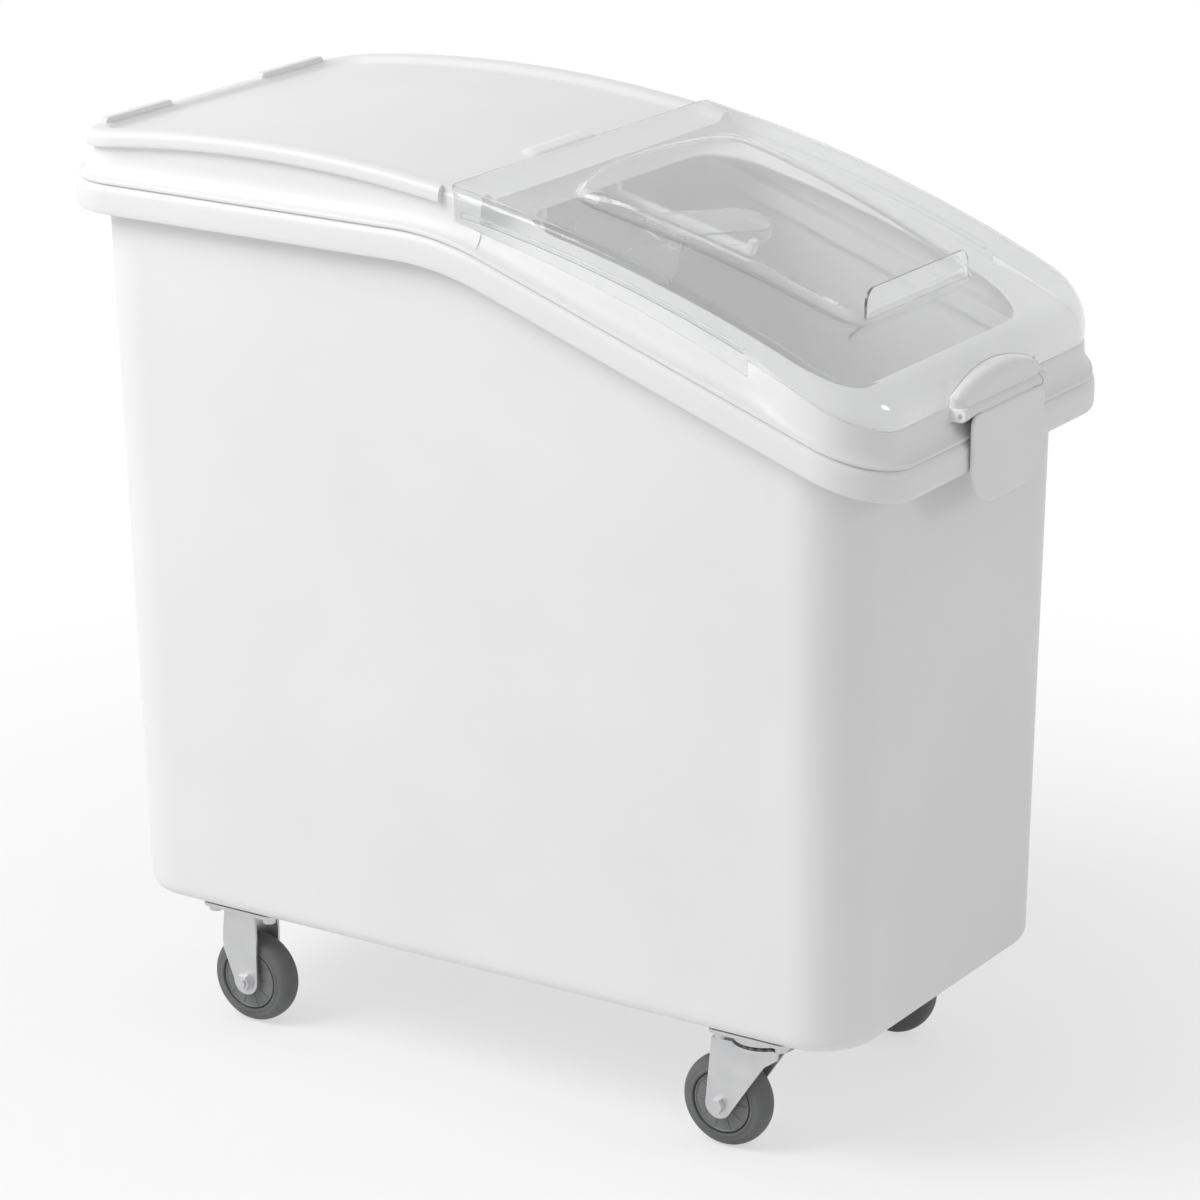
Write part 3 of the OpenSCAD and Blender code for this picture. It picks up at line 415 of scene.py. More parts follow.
def repeated(tree, solids, values, finish):
    """Points and faces of closed solids repeated by a tree, made one plain mesh."""
    points, faces = joined(solids)
    source, holder = (bpy.data.objects.new(n, bpy.data.meshes.new(n)) for n in ("source", "holder"))
    source.data.from_pydata(points, [], faces)
    for thing in (source, holder):
        scene.collection.objects.link(thing)
    modifier = holder.modifiers.new("repeat", "NODES")
    modifier.node_group = tree
    values = dict(values, Piece=source, Finish=finish)
    for item in tree.interface.items_tree:
        if item.in_out == "INPUT":
            modifier[item.identifier] = values[item.name]
    plain = bpy.data.meshes.new_from_object(holder.evaluated_get(bpy.context.evaluated_depsgraph_get()))
    holder.modifiers.remove(modifier)
    made = np.array([tuple(v.co) for v in plain.vertices]), [tuple(f.vertices) for f in plain.polygons]
    for thing in (source, holder):
        bpy.data.objects.remove(thing)
    return made


def middle(node):
    """Middle of a CAD node's box in millimetres."""
    low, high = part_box(node)
    return [500 * (a + b) for a, b in zip(low, high)]


round_turn = np.linspace(0, math.tau, 24, endpoint=False)
hexagon = math.cos(math.radians(30)) / np.cos((round_turn % (math.tau / 6)) - math.tau / 12)


def disc(r, z):
    """Loop about Z at height z, with one radius or a radius for each of its points."""
    return np.column_stack([r * np.cos(round_turn), r * np.sin(round_turn), np.full(len(round_turn), z)])


plate_low = 1000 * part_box("plate_washers")[1][2]
head_low, washer_low = (1000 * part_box(node)[0][2] - plate_low for node in ("plate_screws", "plate_washers"))
head_r = 5.7 * hexagon
screw = skin([disc(4.7, head_low), disc(5.1, head_low + 0.25),
              disc(head_r, head_low + 0.75), disc(head_r, washer_low)])
washer = skin([disc(6.0, washer_low), disc(6.3, washer_low + 0.3), disc(6.3, -0.3), disc(6.1, 0)])
screw_points, screw_faces = repeated(plate_tree, [screw, washer], {
    "Castors along": 483, "Castors across": 260, "Holes along": 54, "Holes across": 36}, zinc_steel)
castor_mid_x, ball_r, rib_ring = 5.5, 2.5, 16.4
plate_metal = [(screw_points + (castor_mid_x, 0, plate_low), screw_faces)]
ball = bmesh.new()
bmesh.ops.create_icosphere(ball, subdivisions=2, radius=ball_r)
ball = taken(ball)
for side in ("left", "right"):
    race = f"front_{side}_swivel_balls"
    race_r = 500 * (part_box(race)[1][0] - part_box(race)[0][0]) - ball_r
    ball_points, ball_faces = repeated(ring_tree, [ball], {"Count": 16, "Radius": race_r}, zinc_steel)
    plate_metal.append((ball_points + middle(race), ball_faces))
repeats = ["plate_screws", "plate_washers", "front_left_swivel_balls", "front_right_swivel_balls"]

tyre_profile = [(25.0, 9.2), (25.5, 9.4), (25.6, 11.4), (26.0, 12.15), (26.6, 12.45), (27.5, 12.45)]
tyre_profile += [(28.2, 12.1), (28.8, 11.6), (29.6, 11.5), (31.2, 11.45), (32.8, 10.95), (34.2, 9.95)]
tyre_profile += [(35.4, 8.6), (36.4, 6.8), (37.1, 4.5), (37.5, 1.5)]
hub_profile = [(24.9, 9.2), (24.5, 9.4), (24.4, 11.0), (24.1, 11.4), (23.4, 11.45), (22.9, 11.1), (22.6, 10.6)]
hub_profile += [(21.8, 10.5), (11.8, 10.5), (11.0, 10.8), (10.6, 11.5), (10.3, 11.9), (9.8, 12.0), (6.5, 12.0)]
hub_profile += [(6.05, 11.7)]
rib_in, rib_out = 10.2 - rib_ring, 22.6 - rib_ring
rib = skin([np.array([(rib_in, -w, z), (rib_out, -w, z), (rib_out, w, z), (rib_in, w, z)])
            for w, z in ((0.45, -11.1), (0.75, -10.8), (0.75, 10.8), (0.45, 11.1))])
rib_points, rib_faces = repeated(ring_tree, [rib], {"Count": 10, "Radius": rib_ring}, grey_plastic)
rib_points = rib_points[:, [0, 2, 1]]
slot_of = {subpart["node"]: subpart["material_slot"] for subpart in frame["record"]["subparts"]}
for body, nodes in frame["record"]["behaviour"]["bodies"].items():
    metal = [node for node in nodes if slot_of[node] == "zinc_steel" and node != "latch_pins"]
    if body.endswith("_wheel"):
        hub, tyre = (body.replace("wheel", piece) for piece in ("hub", "tyre"))
        make_piece(tyre + "_tread", body, grey_rubber, [tyre], [lathe(tyre_profile, middle(tyre))])
        make_piece(hub + "_disc", body, grey_plastic, [hub],
                   [lathe(hub_profile, middle(hub)), (rib_points + middle(hub), rib_faces)])
    elif metal:
        pressings = [softened(node, 0.5) for node in metal if node not in repeats]
        make_piece(body + "_castor_metal", body, zinc_steel, metal,
                   pressings + (plate_metal if body == "bin" else []))

# Lid frame: one white moulding that drops on the rim. Its rear half is a closed crowned panel inside raised rails,
# its front half an open scooping mouth with a rest for the scoop, and a skirt under it fits inside the tub.
arc_x, arc_z, lid_r = -184, -440, 1195
frame_t, flange_t, seat_gap, plug_deep = 3.5, 3.5, 0.1, 12
wall_rear, wall_front, wall_half, apron_half = 362.8, 361.5, 178, 186


def crown(x, drop):
    """Height of the lid's sliding arc at x, on a circle smaller by drop."""
    return arc_z + np.sqrt((lid_r - drop) ** 2 - (np.asarray(x, float) - arc_x) ** 2)


hood_front, shoulder_x, shoulder_l, wall_drop, ledge_drop = 25, 260, 45, 12, 23
step_x = hood_front - 0.4
frame_xs = [308, 300, 292, 284, 276, 268, 260, 240, 180, 120, 80, 50, step_x + 0.01, step_x - 0.01] + bend_xs[2:]
frame_xs += [-70, -120, -180, -240, -285]


def smooth(t):
    """Soft step from 0 to 1 as t goes from 0 to 1."""
    t = np.clip(t, 0, 1)
    return t * t * (3 - 2 * t)


def shoulder(x):
    """Share of the way out from the wall under the rails to the wider apron in front."""
    return smooth((x - shoulder_x) / shoulder_l)


def frame_plan(inset):
    """The frame's wall seen from above: flush with the clear lid in front, further in under the rails behind."""
    behind = outline(wall_rear - inset, 400, wall_half - inset, 45 - inset, frame_xs)
    ahead = outline(wall_rear - inset, wall_front - inset, apron_half - inset, 49 - inset, frame_xs)
    return behind + (ahead - behind) * shoulder(ahead[:, :1])


flange_size, plug_size = np.array([374.8, 369.5, 190, 55]), np.array([344.9, 333.3, 168.3, 43.5])
flange, flange_in = (outline(*(flange_size - inset), frame_xs) for inset in (0, 0.8))
plug_xs = [min(x, (x + shoulder_x) / 2) for x in frame_xs]
plug, plug_in = (outline(*(plug_size - inset), plug_xs) for inset in (0, frame_t))
walls = [frame_plan(inset) for inset in (0, 0.6, 2, frame_t)]
wall_top = crown(walls[0][:, 0], np.where(walls[0][:, 0] < step_x, wall_drop, ledge_drop))
cove_base = seam(walls[0][:, 0]) + flange_t
cove_h = np.minimum(18, 0.72 * (wall_top - cove_base))
flange_low, plug_low = seam(flange[:, 0]), seam(plug[:, 0])
seat_loops = [at_height(flange_in, flange_low + seat_gap), at_height(flange, flange_low + 0.9)]
seat_loops += [at_height(flange, flange_low + 2.6), at_height(flange_in, flange_low + flange_t)]
for a in (12, 30, 48, 66, 80, 90):
    share_in, share_up = math.sin(math.radians(a)), 1 - math.cos(math.radians(a))
    plan = flange_in + (walls[0] - flange_in) * share_in
    seat_loops.append(at_height(plan, seam(plan[:, 0]) + flange_t + cove_h * share_up))
seat_loops += [at_height(walls[0], np.maximum(wall_top - 2, cove_base + cove_h + 0.2))]
seat_loops += [at_height(walls[1], wall_top - 0.6), at_height(walls[2], wall_top), at_height(walls[3], wall_top)]
seat_loops += [at_height(walls[3], cove_base + 2), at_height(plug_in, seam(plug_in[:, 0]) + flange_t)]
seat_loops += [at_height(plug_in, seam(plug_in[:, 0]) - plug_deep), at_height(plug, plug_low - plug_deep)]
seat_loops += [at_height(plug, plug_low + seat_gap)]


class Canopy:
    """An arched cover: loops round two sides and one closed end, then a grid over the top, on the lid's arc.
    lanes gives the grid's places across at x, section the inset and drop of the loops, top the drop of the grid."""

    def __init__(self, toward, end, half, r, xs, lanes, section, top, bend=lambda x, y, edge: x):
        columns = len(lanes(0, half)) - 1
        path = [(x, -half, 0, -1) for x in xs]
        for a in np.radians(np.linspace(0, 90, 25)[1:]):
            nx, ny = toward * math.sin(a), -math.cos(a)
            path.append((toward * (end - r) + r * nx, r - half + r * ny, nx, ny))
        last = len(path) - 1
        path += [(toward * end, y, toward, 0) for y in lanes(toward * end, half - r)[1:-1]]
        path += [(x, -y, nx, -ny) for x, y, nx, ny in reversed(path[:last + 1])]
        sections = [section(*station) for station in path]
        rows, n = len(sections[0]), len(path)
        points = []
        for i in range(rows):
            for (x, y, nx, ny), pairs in zip(path, sections):
                inset, drop = pairs[i]
                points.append((x - inset * nx, y - inset * ny, float(crown(x - inset * nx, drop))))
        rim = (rows - 1) * n
        for k in range(last):
            x, y, _ = points[rim + k]
            for across in lanes(x, -y)[1:-1]:
                along = bend(x, across, -y)
                points.append((along, across, float(crown(along, top(along, across)))))

        def spot(k, m):
            if m == 0:
                return rim + k
            if m == columns:
                return rim + n - 1 - k
            return rim + last + m if k == last else rows * n + k * (columns - 1) + m - 1

        self.faces = [(i * n + p, i * n + p + 1, (i + 1) * n + p + 1, (i + 1) * n + p)
                      for i in range(rows - 1) for p in range(n - 1)]
        self.faces += [(spot(k, m), spot(k, m + 1), spot(k + 1, m + 1), spot(k + 1, m))
                       for k in range(last) for m in range(columns)]
        self.edge = list(range(n)) + [i * n + n - 1 for i in range(1, rows)]
        self.edge += [spot(0, m) for m in range(columns - 1, 0, -1)] + [i * n for i in range(rows - 1, 0, -1)]
        self.points = points

    def closed_with(self, inner, round_edge):
        """Solid between this cover and one just inside it with the same stations, with its edge rounded out."""
        n, m = len(self.points), len(self.edge)
        faces = self.faces + [tuple(n + i for i in reversed(face)) for face in inner.faces]
        outside, inside = np.array(self.points)[self.edge], np.array(inner.points)[inner.edge]
        away = np.cross(np.roll(outside, -1, axis=0) - np.roll(outside, 1, axis=0), outside - inside)
        away *= round_edge / np.maximum(np.linalg.norm(away, axis=1), 1e-9)[:, None]
        extra, rings = [], [self.edge]
        for share, out in ((0.2, 0.65), (0.5, 1.0), (0.8, 0.65)) if round_edge else ():
            rings.append([2 * n + len(extra) * m + i for i in range(m)])
            extra.append(outside + (inside - outside) * share + away * out)
        rings.append([n + i for i in inner.edge])
        for ring_a, ring_b in zip(rings, rings[1:]):
            faces += [(ring_a[(i + 1) % m], ring_a[i], ring_b[i], ring_b[(i + 1) % m]) for i in range(m)]
        return np.concatenate([np.array(self.points), np.array(inner.points)] + extra), faces


def hood_lanes(x, edge):
    return np.linspace(-edge, edge, 121)


rail_half, rail_rear, rail_r, rail_end = 183.7, 368.5, 50.7, -10
panel_drop, under_drop, hood_inset = 9, 12.5, 9.7
hood_xs = [hood_front, 22, 18, 14, 10, 6, 2, -2, -6, -9.99, -10.01] + [-10.01 - 2.5 * i for i in range(1, 15)]
hood_xs += [-50 - 9 * i for i in range(30)]
rail_profile = [(7.5, 17), (6, 16), (2, 16), (0.8, 15.5), (0.15, 14.4), (0, 12.5), (0, 9.8)]
rail_profile += [(turn_in(6.5, a)[0], 3.3 + turn_in(6.5, a)[1]) for a in (18, 36, 54, 72, 90)]
rail_profile += [(9, 3.3), (14, 3.35), (16.5, 3.8), (18.5, 4.9), (20.5, 6.7), (22.5, 8.1), (25, 8.8)]
rail_profile += [(29, panel_drop)]
hump_x, hump_straight, hump_r, hump_rise = -21, 35, 11, 3


def rail_section(x, y, nx, ny):
    """Round the rail's overhang and down its soft inner step; ahead of the overhang only the tongue goes on."""
    if x <= rail_end:
        return rail_profile
    return [(max(inset, 6.9 if drop < 9 else 5.4), drop) for inset, drop in rail_profile]


def hood_under(x, y, nx, ny):
    """Up the inside of the rail's wall and inwards under the panel, in as many steps as the rail's profile."""
    wall = [(hood_inset, drop) for drop in np.linspace(rail_profile[0][1], under_drop, 7)]
    inwards = np.linspace(0, 20, len(rail_profile) - len(wall) + 1)[1:]
    return wall + [(hood_inset + inward, under_drop) for inward in inwards]


def hump(x, y):
    """Drop of the closed panel, with the low hump behind the closed lid."""
    return panel_drop - hump_rise * smooth((hump_r - math.hypot(x - hump_x, max(abs(y) - hump_straight, 0))) / 6)


hood_ends = (-1, rail_rear, rail_half, rail_r, hood_xs, hood_lanes)
hood = Canopy(*hood_ends, rail_section, hump).closed_with(Canopy(*hood_ends, hood_under, lambda x, y: under_drop), 0)

mouth_rear, mouth_front, mouth_half, mouth_r = 30, 318, 146, 45
ledge_xs = [272, 268, 264, 260, 240, 210, 180, 150, 120, 100, 80]
ledge_half, ledge_wide, ledge_front = wall_half - 2, apron_half - 2, wall_front - 2
ledge_top, ledge_under = ledge_drop + 0.2, ledge_drop + 3.7
ledge_behind = outline(-23, ledge_front, ledge_half, 20, ledge_xs)
ledge_ahead = outline(-23, ledge_front, ledge_wide, 47, ledge_xs)
ledge_out = np.where(ledge_ahead[:, :1] > shoulder_x, ledge_ahead, ledge_behind)
ledge_out[:, 1] = np.where(ledge_ahead[:, 0] > 313, ledge_out[:, 1], np.sign(ledge_out[:, 1]) * np.minimum(
    abs(ledge_out[:, 1]), ledge_half + (ledge_wide - ledge_half) * shoulder(ledge_ahead[:, 0])))


def mouth(inset, drop):
    """Loop round the scooping mouth, set back from its edge."""
    plan = outline(inset - mouth_rear, mouth_front + inset, mouth_half + inset, mouth_r + inset, ledge_xs)
    return at_height(plan, crown(plan[:, 0], drop))


ledge_loops = [at_height(ledge_out, crown(ledge_out[:, 0], ledge_top)), mouth(6, ledge_top), mouth(1.7, ledge_top)]
ledge_loops += [mouth(0.5, 23.6), mouth(0, 24.8), mouth(0.4, 26.1), mouth(1.5, ledge_under), mouth(6, ledge_under)]
ledge_loops += [at_height(ledge_out, crown(ledge_out[:, 0], ledge_under))]


def slab(shape, origin, u, v, thick, soft, segments=3):
    """Plate of a flat outline in the directions u and v, thickened both ways about origin, with rounded edges."""
    u, v = Vector(u), Vector(v)
    w = u.cross(v) * thick / 2
    work = bmesh.new()
    sides = [[work.verts.new(Vector(origin) + u * a + v * b + w * side) for a, b in shape] for side in (-1, 1)]
    work.faces.new(sides[0][::-1])
    work.faces.new(sides[1])
    n = len(shape)
    for i in range(n):
        work.faces.new((sides[0][i], sides[0][(i + 1) % n], sides[1][(i + 1) % n], sides[1][i]))
    work.normal_update()
    edges = [e for e in work.edges if e.calc_face_angle(0) > math.radians(35)]
    bmesh.ops.bevel(work, geom=edges, offset=soft, segments=segments, profile=0.5, affect="EDGES", clamp_overlap=True)
    return taken(work)


def rounded(a0, a1, b0, b1, low_r, high_r):
    """Outline of a rectangle whose lower and upper corners have their own radii."""
    shape = []
    for ca, cb, r, start in ((a1 - low_r, b0 + low_r, low_r, -90), (a1 - high_r, b1 - high_r, high_r, 0),
                             (a0 + high_r, b1 - high_r, high_r, 90), (a0 + low_r, b0 + low_r, low_r, 180)):
        steps = max(2, int(r / 1.2))
        shape += [(ca + r * math.cos(math.radians(start + 90 * i / steps)),
                   cb + r * math.sin(math.radians(start + 90 * i / steps))) for i in range(steps + 1)]
    return shape


to_front, to_side, up = (1, 0, 0), (0, 1, 0), (0, 0, 1)
frame_solids = [skin(seat_loops, closed=True), hood, skin(ledge_loops, closed=True)]
riser_low, riser_high = float(crown(hood_front, 26.5)), float(crown(hood_front, 10.5))
riser_half, riser_x = 176.5, 23.3
riser = rounded(-riser_half, riser_half, riser_low, riser_high, 1, 1)
frame_solids.append(slab(riser, (riser_x, 0, 0), to_side, up, 3, 0.6))
rib_x, rib_from, rib_to = 13 - rail_rear, 60, 145
rib_low, rib_high = float(crown(rib_x, 11)), float(crown(rib_x, 0)) + 1
for side in (-1, 1):
    rear_rib = rounded(rib_from, rib_to, rib_low, rib_high, 1, 3)
    frame_solids.append(slab(rear_rib, (rib_x, 0, 0), (0, side, 0), up, 6, 1.6))

pin_x, pin_z = rim_front - 2, float(seam(rim_front)) + 22
boss_half, boss_rise, boss_top, boss_face, lug_r = 65.5, 12.5, float(crown(wall_front, 6)), 361.6, 5
boss_r = (boss_half ** 2 + boss_rise ** 2) / (2 * boss_rise)


def boss_loop(x, inset):
    """Loop of the latch's boss at x, drawn in under its arched top and at its two ends."""
    across = np.linspace(boss_half - inset, inset - boss_half, 61)
    arch = boss_top - inset * 0.8 - boss_r + np.sqrt(boss_r ** 2 - across ** 2)
    loop = [(x, inset - boss_half, pin_z - lug_r), (x, boss_half - inset, pin_z - lug_r)]
    return np.array(loop + [(x, y, z) for y, z in zip(across, arch)])


boss_loops = [boss_loop(358, 0), boss_loop(boss_face, 0)]
for a in np.radians(np.linspace(9, 90, 10)):
    boss_loops.append(boss_loop(boss_face + 8.8 * math.sin(a), 15 * (1 - math.cos(a))))
frame_solids.append(skin(boss_loops))
for side in (-1, 1):
    lug = [(pin_x - 9.5, pin_z - lug_r), (pin_x, pin_z - lug_r)]
    lug += [(pin_x + lug_r * math.sin(a), pin_z - lug_r * math.cos(a)) for a in np.radians(range(15, 180, 15))]
    lug += [(pin_x, pin_z + lug_r), (pin_x - 9.5, pin_z + lug_r)]
    frame_solids.append(slab(lug, (0, side * (boss_half - 4.5), 0), to_front, up, 8.8, 0.8))

rest_x, rest_drop = 100, 68
rest_tilt = math.asin((rest_x - arc_x) / (lid_r - ledge_drop))
rest_along = math.cos(rest_tilt), 0, -math.sin(rest_tilt)
rest_up = math.sin(rest_tilt), 0, math.cos(rest_tilt)
rest_place = Vector((rest_x, 0, float(crown(rest_x, rest_drop))))
web_x, web_w, finger_t, tip_h = 14.5, 7, 5, 7
for across, height, reach in ((-88, 0, 10), (18, 28, 38)):
    root = -(rest_x - web_x - 1 + height * math.tan(rest_tilt))
    finger = [(root, height - finger_t), (reach, height - finger_t), (reach, height + tip_h)]
    finger += [(reach - finger_t, height + tip_h), (reach - finger_t, height), (root, height)]
    frame_solids.append(slab(finger, rest_place + Vector((0, across, 0)), rest_along, rest_up, 8.9, 0.8))
    web_low = float(crown(web_x, rest_drop)) + height - 2
    web = rounded(web_x, web_x + web_w, web_low, float(crown(web_x, 11)), 0.8, 0.8)
    frame_solids.append(slab(web, (0, across, 0), to_front, up, web_w, 0.6))
make_piece("lid_frame_moulding", "lid", white_plastic, ["lid_frame"], frame_solids)

# Clear lid: one clear polycarbonate moulding, arched to slide back over the rails. It has side skirts with lips that
# hook under the rails, a raised panel, an upright finger lip, and an arched cut-out over the latch.


def clear_finish(name, rear_painted_shade, tint, clarity, bend):
    """Clear plastic: tint darkens what is seen through it, and clarity is the share of light that isn't scattered.
    Its rear is darker, a painted shade. Where the attribute set on the raised panel's steps is 1, it is lighter, a
    painted highlight, and rougher (frosted)."""
    material, shader, place = start_finish(name, {
        "Transmission Weight": clarity, "IOR": bend, "Coat Weight": 0.7, "Coat Roughness": 0.04})
    flow = noise(place, 14.0)
    # Painted highlight: where this attribute is 1, the colour is lighter.
    edge = place.node("ShaderNodeAttribute", {"attribute_name": "mould_edge"}, {}, "Fac")
    # Painted shade at the lid's rear: the colour darkens from x = 85 mm back to x = 15 mm.
    along = place.node("ShaderNodeSeparateXYZ", {}, {"Vector": place}, "X")
    ahead = along.node("ShaderNodeMapRange", {"interpolation_type": "SMOOTHSTEP"},
                       {"Value": along, "From Min": 0.015, "From Max": 0.085})
    # Tones: the painted shade at the rear, the plastic's own tint, and white for the painted highlight on the panel's
    # steps.
    tones = (0, rear_painted_shade), (0.3, tint), (0.7, 1)
    stops = [(at, (tone, min(tone + 0.004, 1), min(tone + 0.004, 1), 1)) for at, tone in tones]
    feed(shader, {
        "Base Color": edge.node("ShaderNodeValToRGB", {"stops": stops}, {"Fac": edge * 0.7 + ahead * 0.3}),
        "Roughness": flow * 0.04 + edge * 0.10 + 0.03,
        "Normal": bump(flow, 0.0004, 0.03),
    })
    shadow_ray = Wire(material.node_tree.nodes.new("ShaderNodeLightPath").outputs["Is Shadow Ray"])
    passing = place.node("ShaderNodeBsdfTransparent", {}, {"Color": (0.96, 0.962, 0.962, 1)})
    mixed = place.node("ShaderNodeMixShader", {}, {0: shadow_ray, 1: Wire(shader.outputs[0]), 2: passing})
    material.node_tree.links.new(mixed.socket, material.node_tree.nodes["Material Output"].inputs["Surface"])
    return material


# 0.74 is the painted shade at the lid's rear; 0.845 is the plastic's own tint.
clear_plastic = clear_finish("clear_plastic", 0.74, 0.845, 0.8, 1.2)
clear_edge = clear_finish("clear_edge", 0.985, 0.985, 0.96, 1.3)

clear_t, clear_half, clear_front, clear_r, clear_rear, skirt_end = 2.7, 187, wall_front, 50, -1, 259.7
rear_r, skirt_rear, skirt_deep, front_drop, cut_gap = 14, 25, 33, 22.1, 2
panel_half, panel_nose, panel_rear, panel_front, panel_rise, bow = 122, 92, 44, 298.5, 7, 22
clear_xs = [*range(-1, 38, 3), *np.arange(38, 50, 0.75), *range(50, 258, 4), 259.69, 259.71]
clear_xs += [*range(264, 290, 4), *np.arange(291, 304, 0.75), 306, 309]
skirt_sin = (clear_rear - arc_x) / (lid_r - skirt_rear), (skirt_end - arc_x) / (lid_r - skirt_deep)
skirt_back = (skirt_deep - skirt_rear) / (skirt_sin[1] - skirt_sin[0])
skirt_r = lid_r - skirt_rear + skirt_back * skirt_sin[0]


def skirt_low(x, y):
    """Height of the skirt's lower edge: deepening sides, then the front edge with its arch over the latch."""
    if x < skirt_end + 0.005 and abs(y) > 100:
        return arc_z + math.sqrt(skirt_r ** 2 - (x - arc_x + skirt_back) ** 2)
    low = float(crown(x, front_drop))
    if x > 340 and abs(y) < boss_half + cut_gap:
        low = max(low, boss_top - boss_r + math.sqrt((boss_r + cut_gap) ** 2 - y ** 2))
    return low


def clear_section(thick, steps=16):
    """Section up the skirt and round its upper edge, which is broad in front."""
    def section(x, y, nx, ny):
        r = 8 + 9 * nx * nx - thick * 0.7
        low = skirt_low(x, y)
        fine = [(thick + turn_in(r, a)[0], thick + turn_in(r, a)[1]) for a in np.linspace(0, 90, 31)]
        start = lid_r - math.hypot(x - thick * nx - arc_x, low - arc_z)
        if start > fine[0][1]:
            fine = [(thick, start + (fine[0][1] - start) * s) for s in np.linspace(0, 1, 31)[:-1]] + fine
        insets, drops = np.array(fine).T
        heights = crown(x - insets * nx, drops)
        above = heights > low + 1e-6
        insets, drops, heights = (
            np.concatenate([[np.interp(low, heights, row)], row[above]]) for row in (insets, drops, heights))
        length = np.concatenate([[0], np.cumsum(np.hypot(np.diff(insets), np.diff(heights)))])
        even = np.linspace(0, length[-1], steps)
        return list(zip(np.interp(even, length, insets), np.interp(even, length, drops)))
    return section


bow_r = (panel_half ** 2 + bow ** 2) / (2 * bow)


def panel_side(x):
    """Half width of the raised panel, which narrows to the front."""
    share = (min(max(x, panel_rear), panel_front) - panel_rear) / (panel_front - panel_rear)
    return panel_half + (panel_nose - panel_half) * share


def panel(thick):
    """Drop of the lid's top with its raised panel: tapered sides, a bowed rear edge and soft steps."""
    def top(x, y):
        edges = (panel_side(x) - abs(y)) * 0.993, bow_r - math.hypot(x - panel_rear - bow_r, y), panel_front - x
        inside = -7 * math.log(sum(math.exp(-min(max(e, -90), 90) / 7) for e in edges))
        return thick - panel_rise * smooth((inside - thick * 0.4 + 1) / 7)
    return top


def clear_lanes(x, edge):
    """Places across the lid, close together over the raised panel's step and at the cut-out's two ends."""
    step = panel_side(x)
    half = np.concatenate([np.linspace(edge, step + 5, 15), np.linspace(step + 5, step - 7, 25)[1:],
                           np.linspace(step - 7, 0, 26)[1:]])
    if x > clear_front - 0.01:
        cut_end = boss_half + cut_gap
        mark = int(np.argmin(abs(half - cut_end - 0.1)))
        half[mark:mark + 2] = cut_end + 0.1, cut_end - 0.1
    return np.concatenate([-half, half[-2::-1]])


def bowed(x, y, edge):
    """Bends the grid's rows near the panel's rear edge along its bow."""
    sweep_in = bow_r - math.sqrt(bow_r ** 2 - min(abs(y), panel_half) ** 2)
    near = smooth((x - clear_rear) / 42) * (1 - smooth((x - 52) / 90))
    return x + sweep_in * near * smooth((edge - abs(y)) / 45)


def rounded_rear(points):
    """Rounds the two rear corners seen from above."""
    moved = []
    for x, y, z in points:
        over = max(abs(y) - (clear_half - rear_r), 0)
        shift = (rear_r - math.sqrt(max(rear_r ** 2 - over ** 2, 0))) * max(0, 1 - (x - clear_rear) / 45)
        moved.append((x + shift, y, z))
    return np.array(moved)


clear_ends = (1, clear_front, clear_half, clear_r, clear_xs, clear_lanes)
cover = Canopy(*clear_ends, clear_section(0), panel(0), bowed)
lining = Canopy(*clear_ends, clear_section(clear_t), panel(clear_t), bowed)
cover_points, cover_faces = cover.closed_with(lining, 0.7)
lip_x, lip_t, lip_half = 297, 2.6, 78
lip_low, lip_high = float(crown(lip_x, -2)), float(crown(lip_x, -panel_rise)) + 18
lip_shape = rounded(-lip_half, lip_half, lip_low, lip_high, 1, 12)
finger_lip = slab(lip_shape, (lip_x - lip_t / 2, 0, 0), to_side, up, lip_t, 0.9)
hook_corners = [(185, 16.6), (185, 20.4), (181.3, 20.4), (180.7, 19.7), (180.7, 17.3), (181.3, 16.6)]
hook_rear, hook_front = 11, 255.7
hooks = []
for side in (-1, 1):
    hooks.append(skin([np.array([(x, side * y, float(crown(x, drop))) for y, drop in hook_corners])
                       for x in np.linspace(hook_rear, hook_front, 60)]))
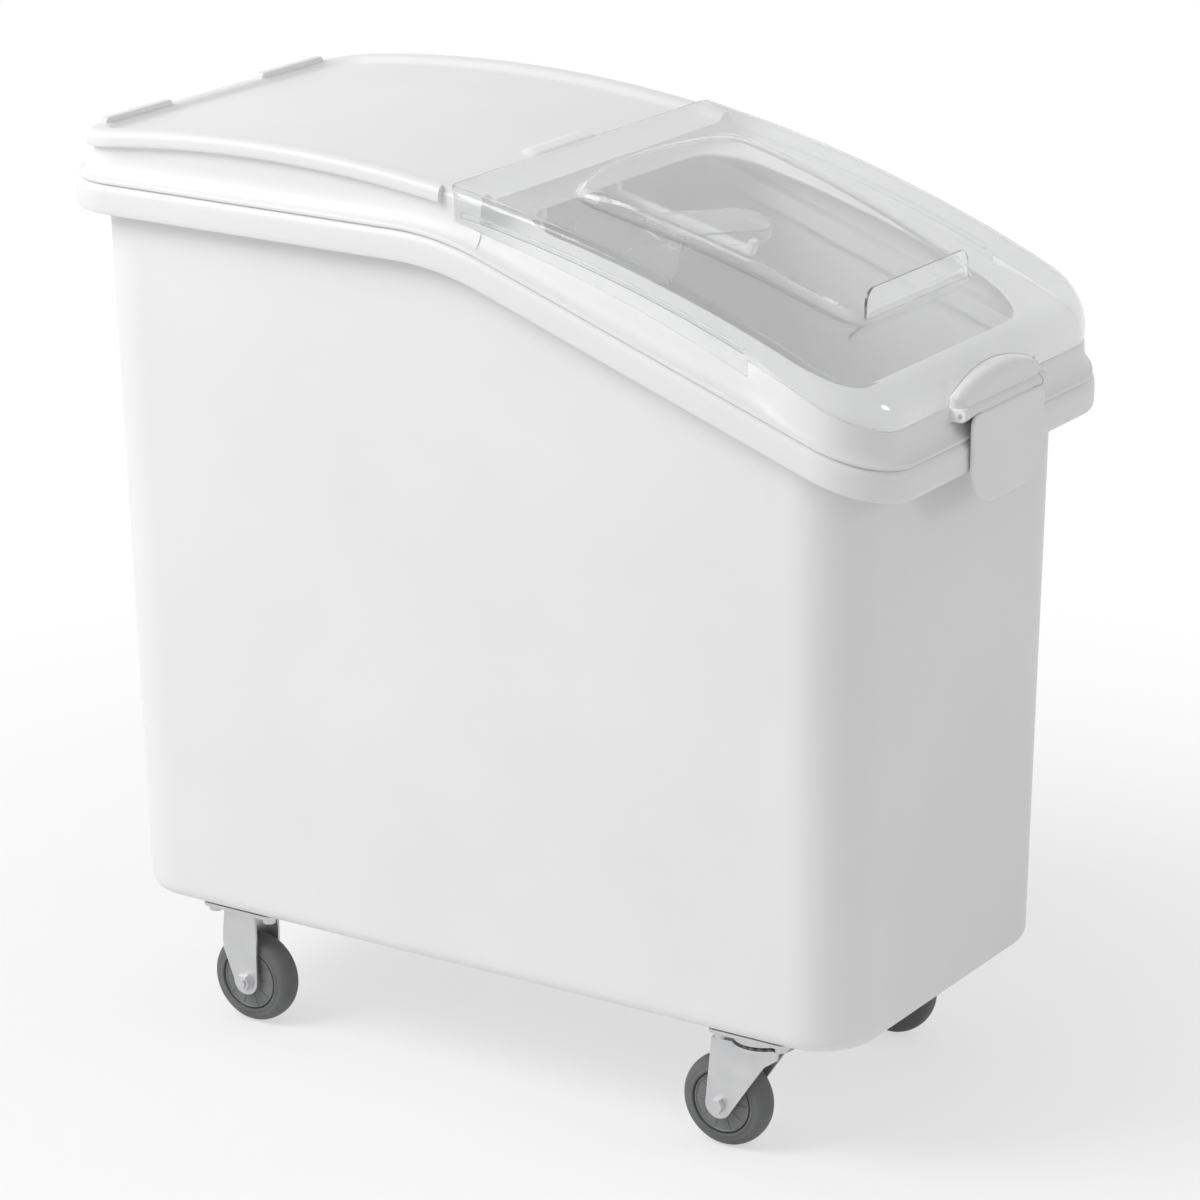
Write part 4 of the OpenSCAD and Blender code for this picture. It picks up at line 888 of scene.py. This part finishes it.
clear_lid = make_piece("clear_lid_moulding", "sliding_lid", clear_plastic, ["clear_lid"],
                       [(rounded_rear(cover_points), cover_faces)])
# Painted highlight mask: 1 on the sloped steps round the raised panel, where the normal is neither level nor upright,
# and 0 elsewhere; the clear finish lightens its colour there.
highlight_half, highlight_front = 0.14, 0.315
mould_edge = []
for vert in clear_lid.data.vertices:
    outward = Vector((vert.co.x - arc_x * 0.001, 0, vert.co.z - arc_z * 0.001)).normalized()
    level = abs(vert.normal.dot(outward))
    on_panel = abs(vert.co.y) < highlight_half and vert.co.x < highlight_front
    mould_edge.append(smooth((1 - level) / 0.2) * smooth(level / 0.3) if on_panel else 0)
clear_lid.data.attributes.new("mould_edge", "FLOAT", "POINT").data.foreach_set("value", mould_edge)
make_piece("clear_lid_finger_lip_and_hooks", "sliding_lid", clear_edge, ["clear_lid"],
           [finger_lip] + hooks)

# Latch: a white moulded shield that hangs over the front rim. It turns on two zinc pins in the frame's lugs,
# and a bead behind it snaps under the rim.
latch_half, latch_low, latch_high, latch_back, knuckle_r = 56, pin_z - 73, pin_z - 2, 374, 4.5
shield = rounded(-latch_half, latch_half, latch_low, latch_high, 32, 8)
latch_solids = [slab(shield, (latch_back + 0.9, 0, 0), to_side, up, 3.9, 1.7, 4)]
knuckle = [(pin_x + knuckle_r * math.cos(a), pin_z + knuckle_r * math.sin(a)) for a in np.radians(range(0, 360, 15))]
latch_solids.append(slab(knuckle, (0, 0, 0), to_front, up, 2 * latch_half - 0.2, 0.8))
spine = rounded(pin_x, latch_back, pin_z - knuckle_r, pin_z, 0.6, 0.6)
latch_solids.append(slab(spine, (0, 0, 0), to_front, up, 84, 0.5))
bead_z = float(seam(rim_front)) - rim_h - 6
bead = rounded(371.9, latch_back, bead_z, bead_z + 5, 1, 1)
latch_solids.append(slab(bead, (0, 0, 0), to_front, up, 48, 0.4))
make_piece("latch_shield", "latch", white_plastic, ["latch"], latch_solids)
make_piece("latch_hinge_pins", "lid", zinc_steel, ["latch_pins"], [softened("latch_pins", 0.3)])

# Scoop: a clear moulded scoop with a channel handle, laid across the mouth on the frame's two fingers.
# Its thin edges are rounded from the mould.
make_piece("scoop_moulding", "lid", clear_edge, ["scoop"], [softened("scoop", 0.6)])
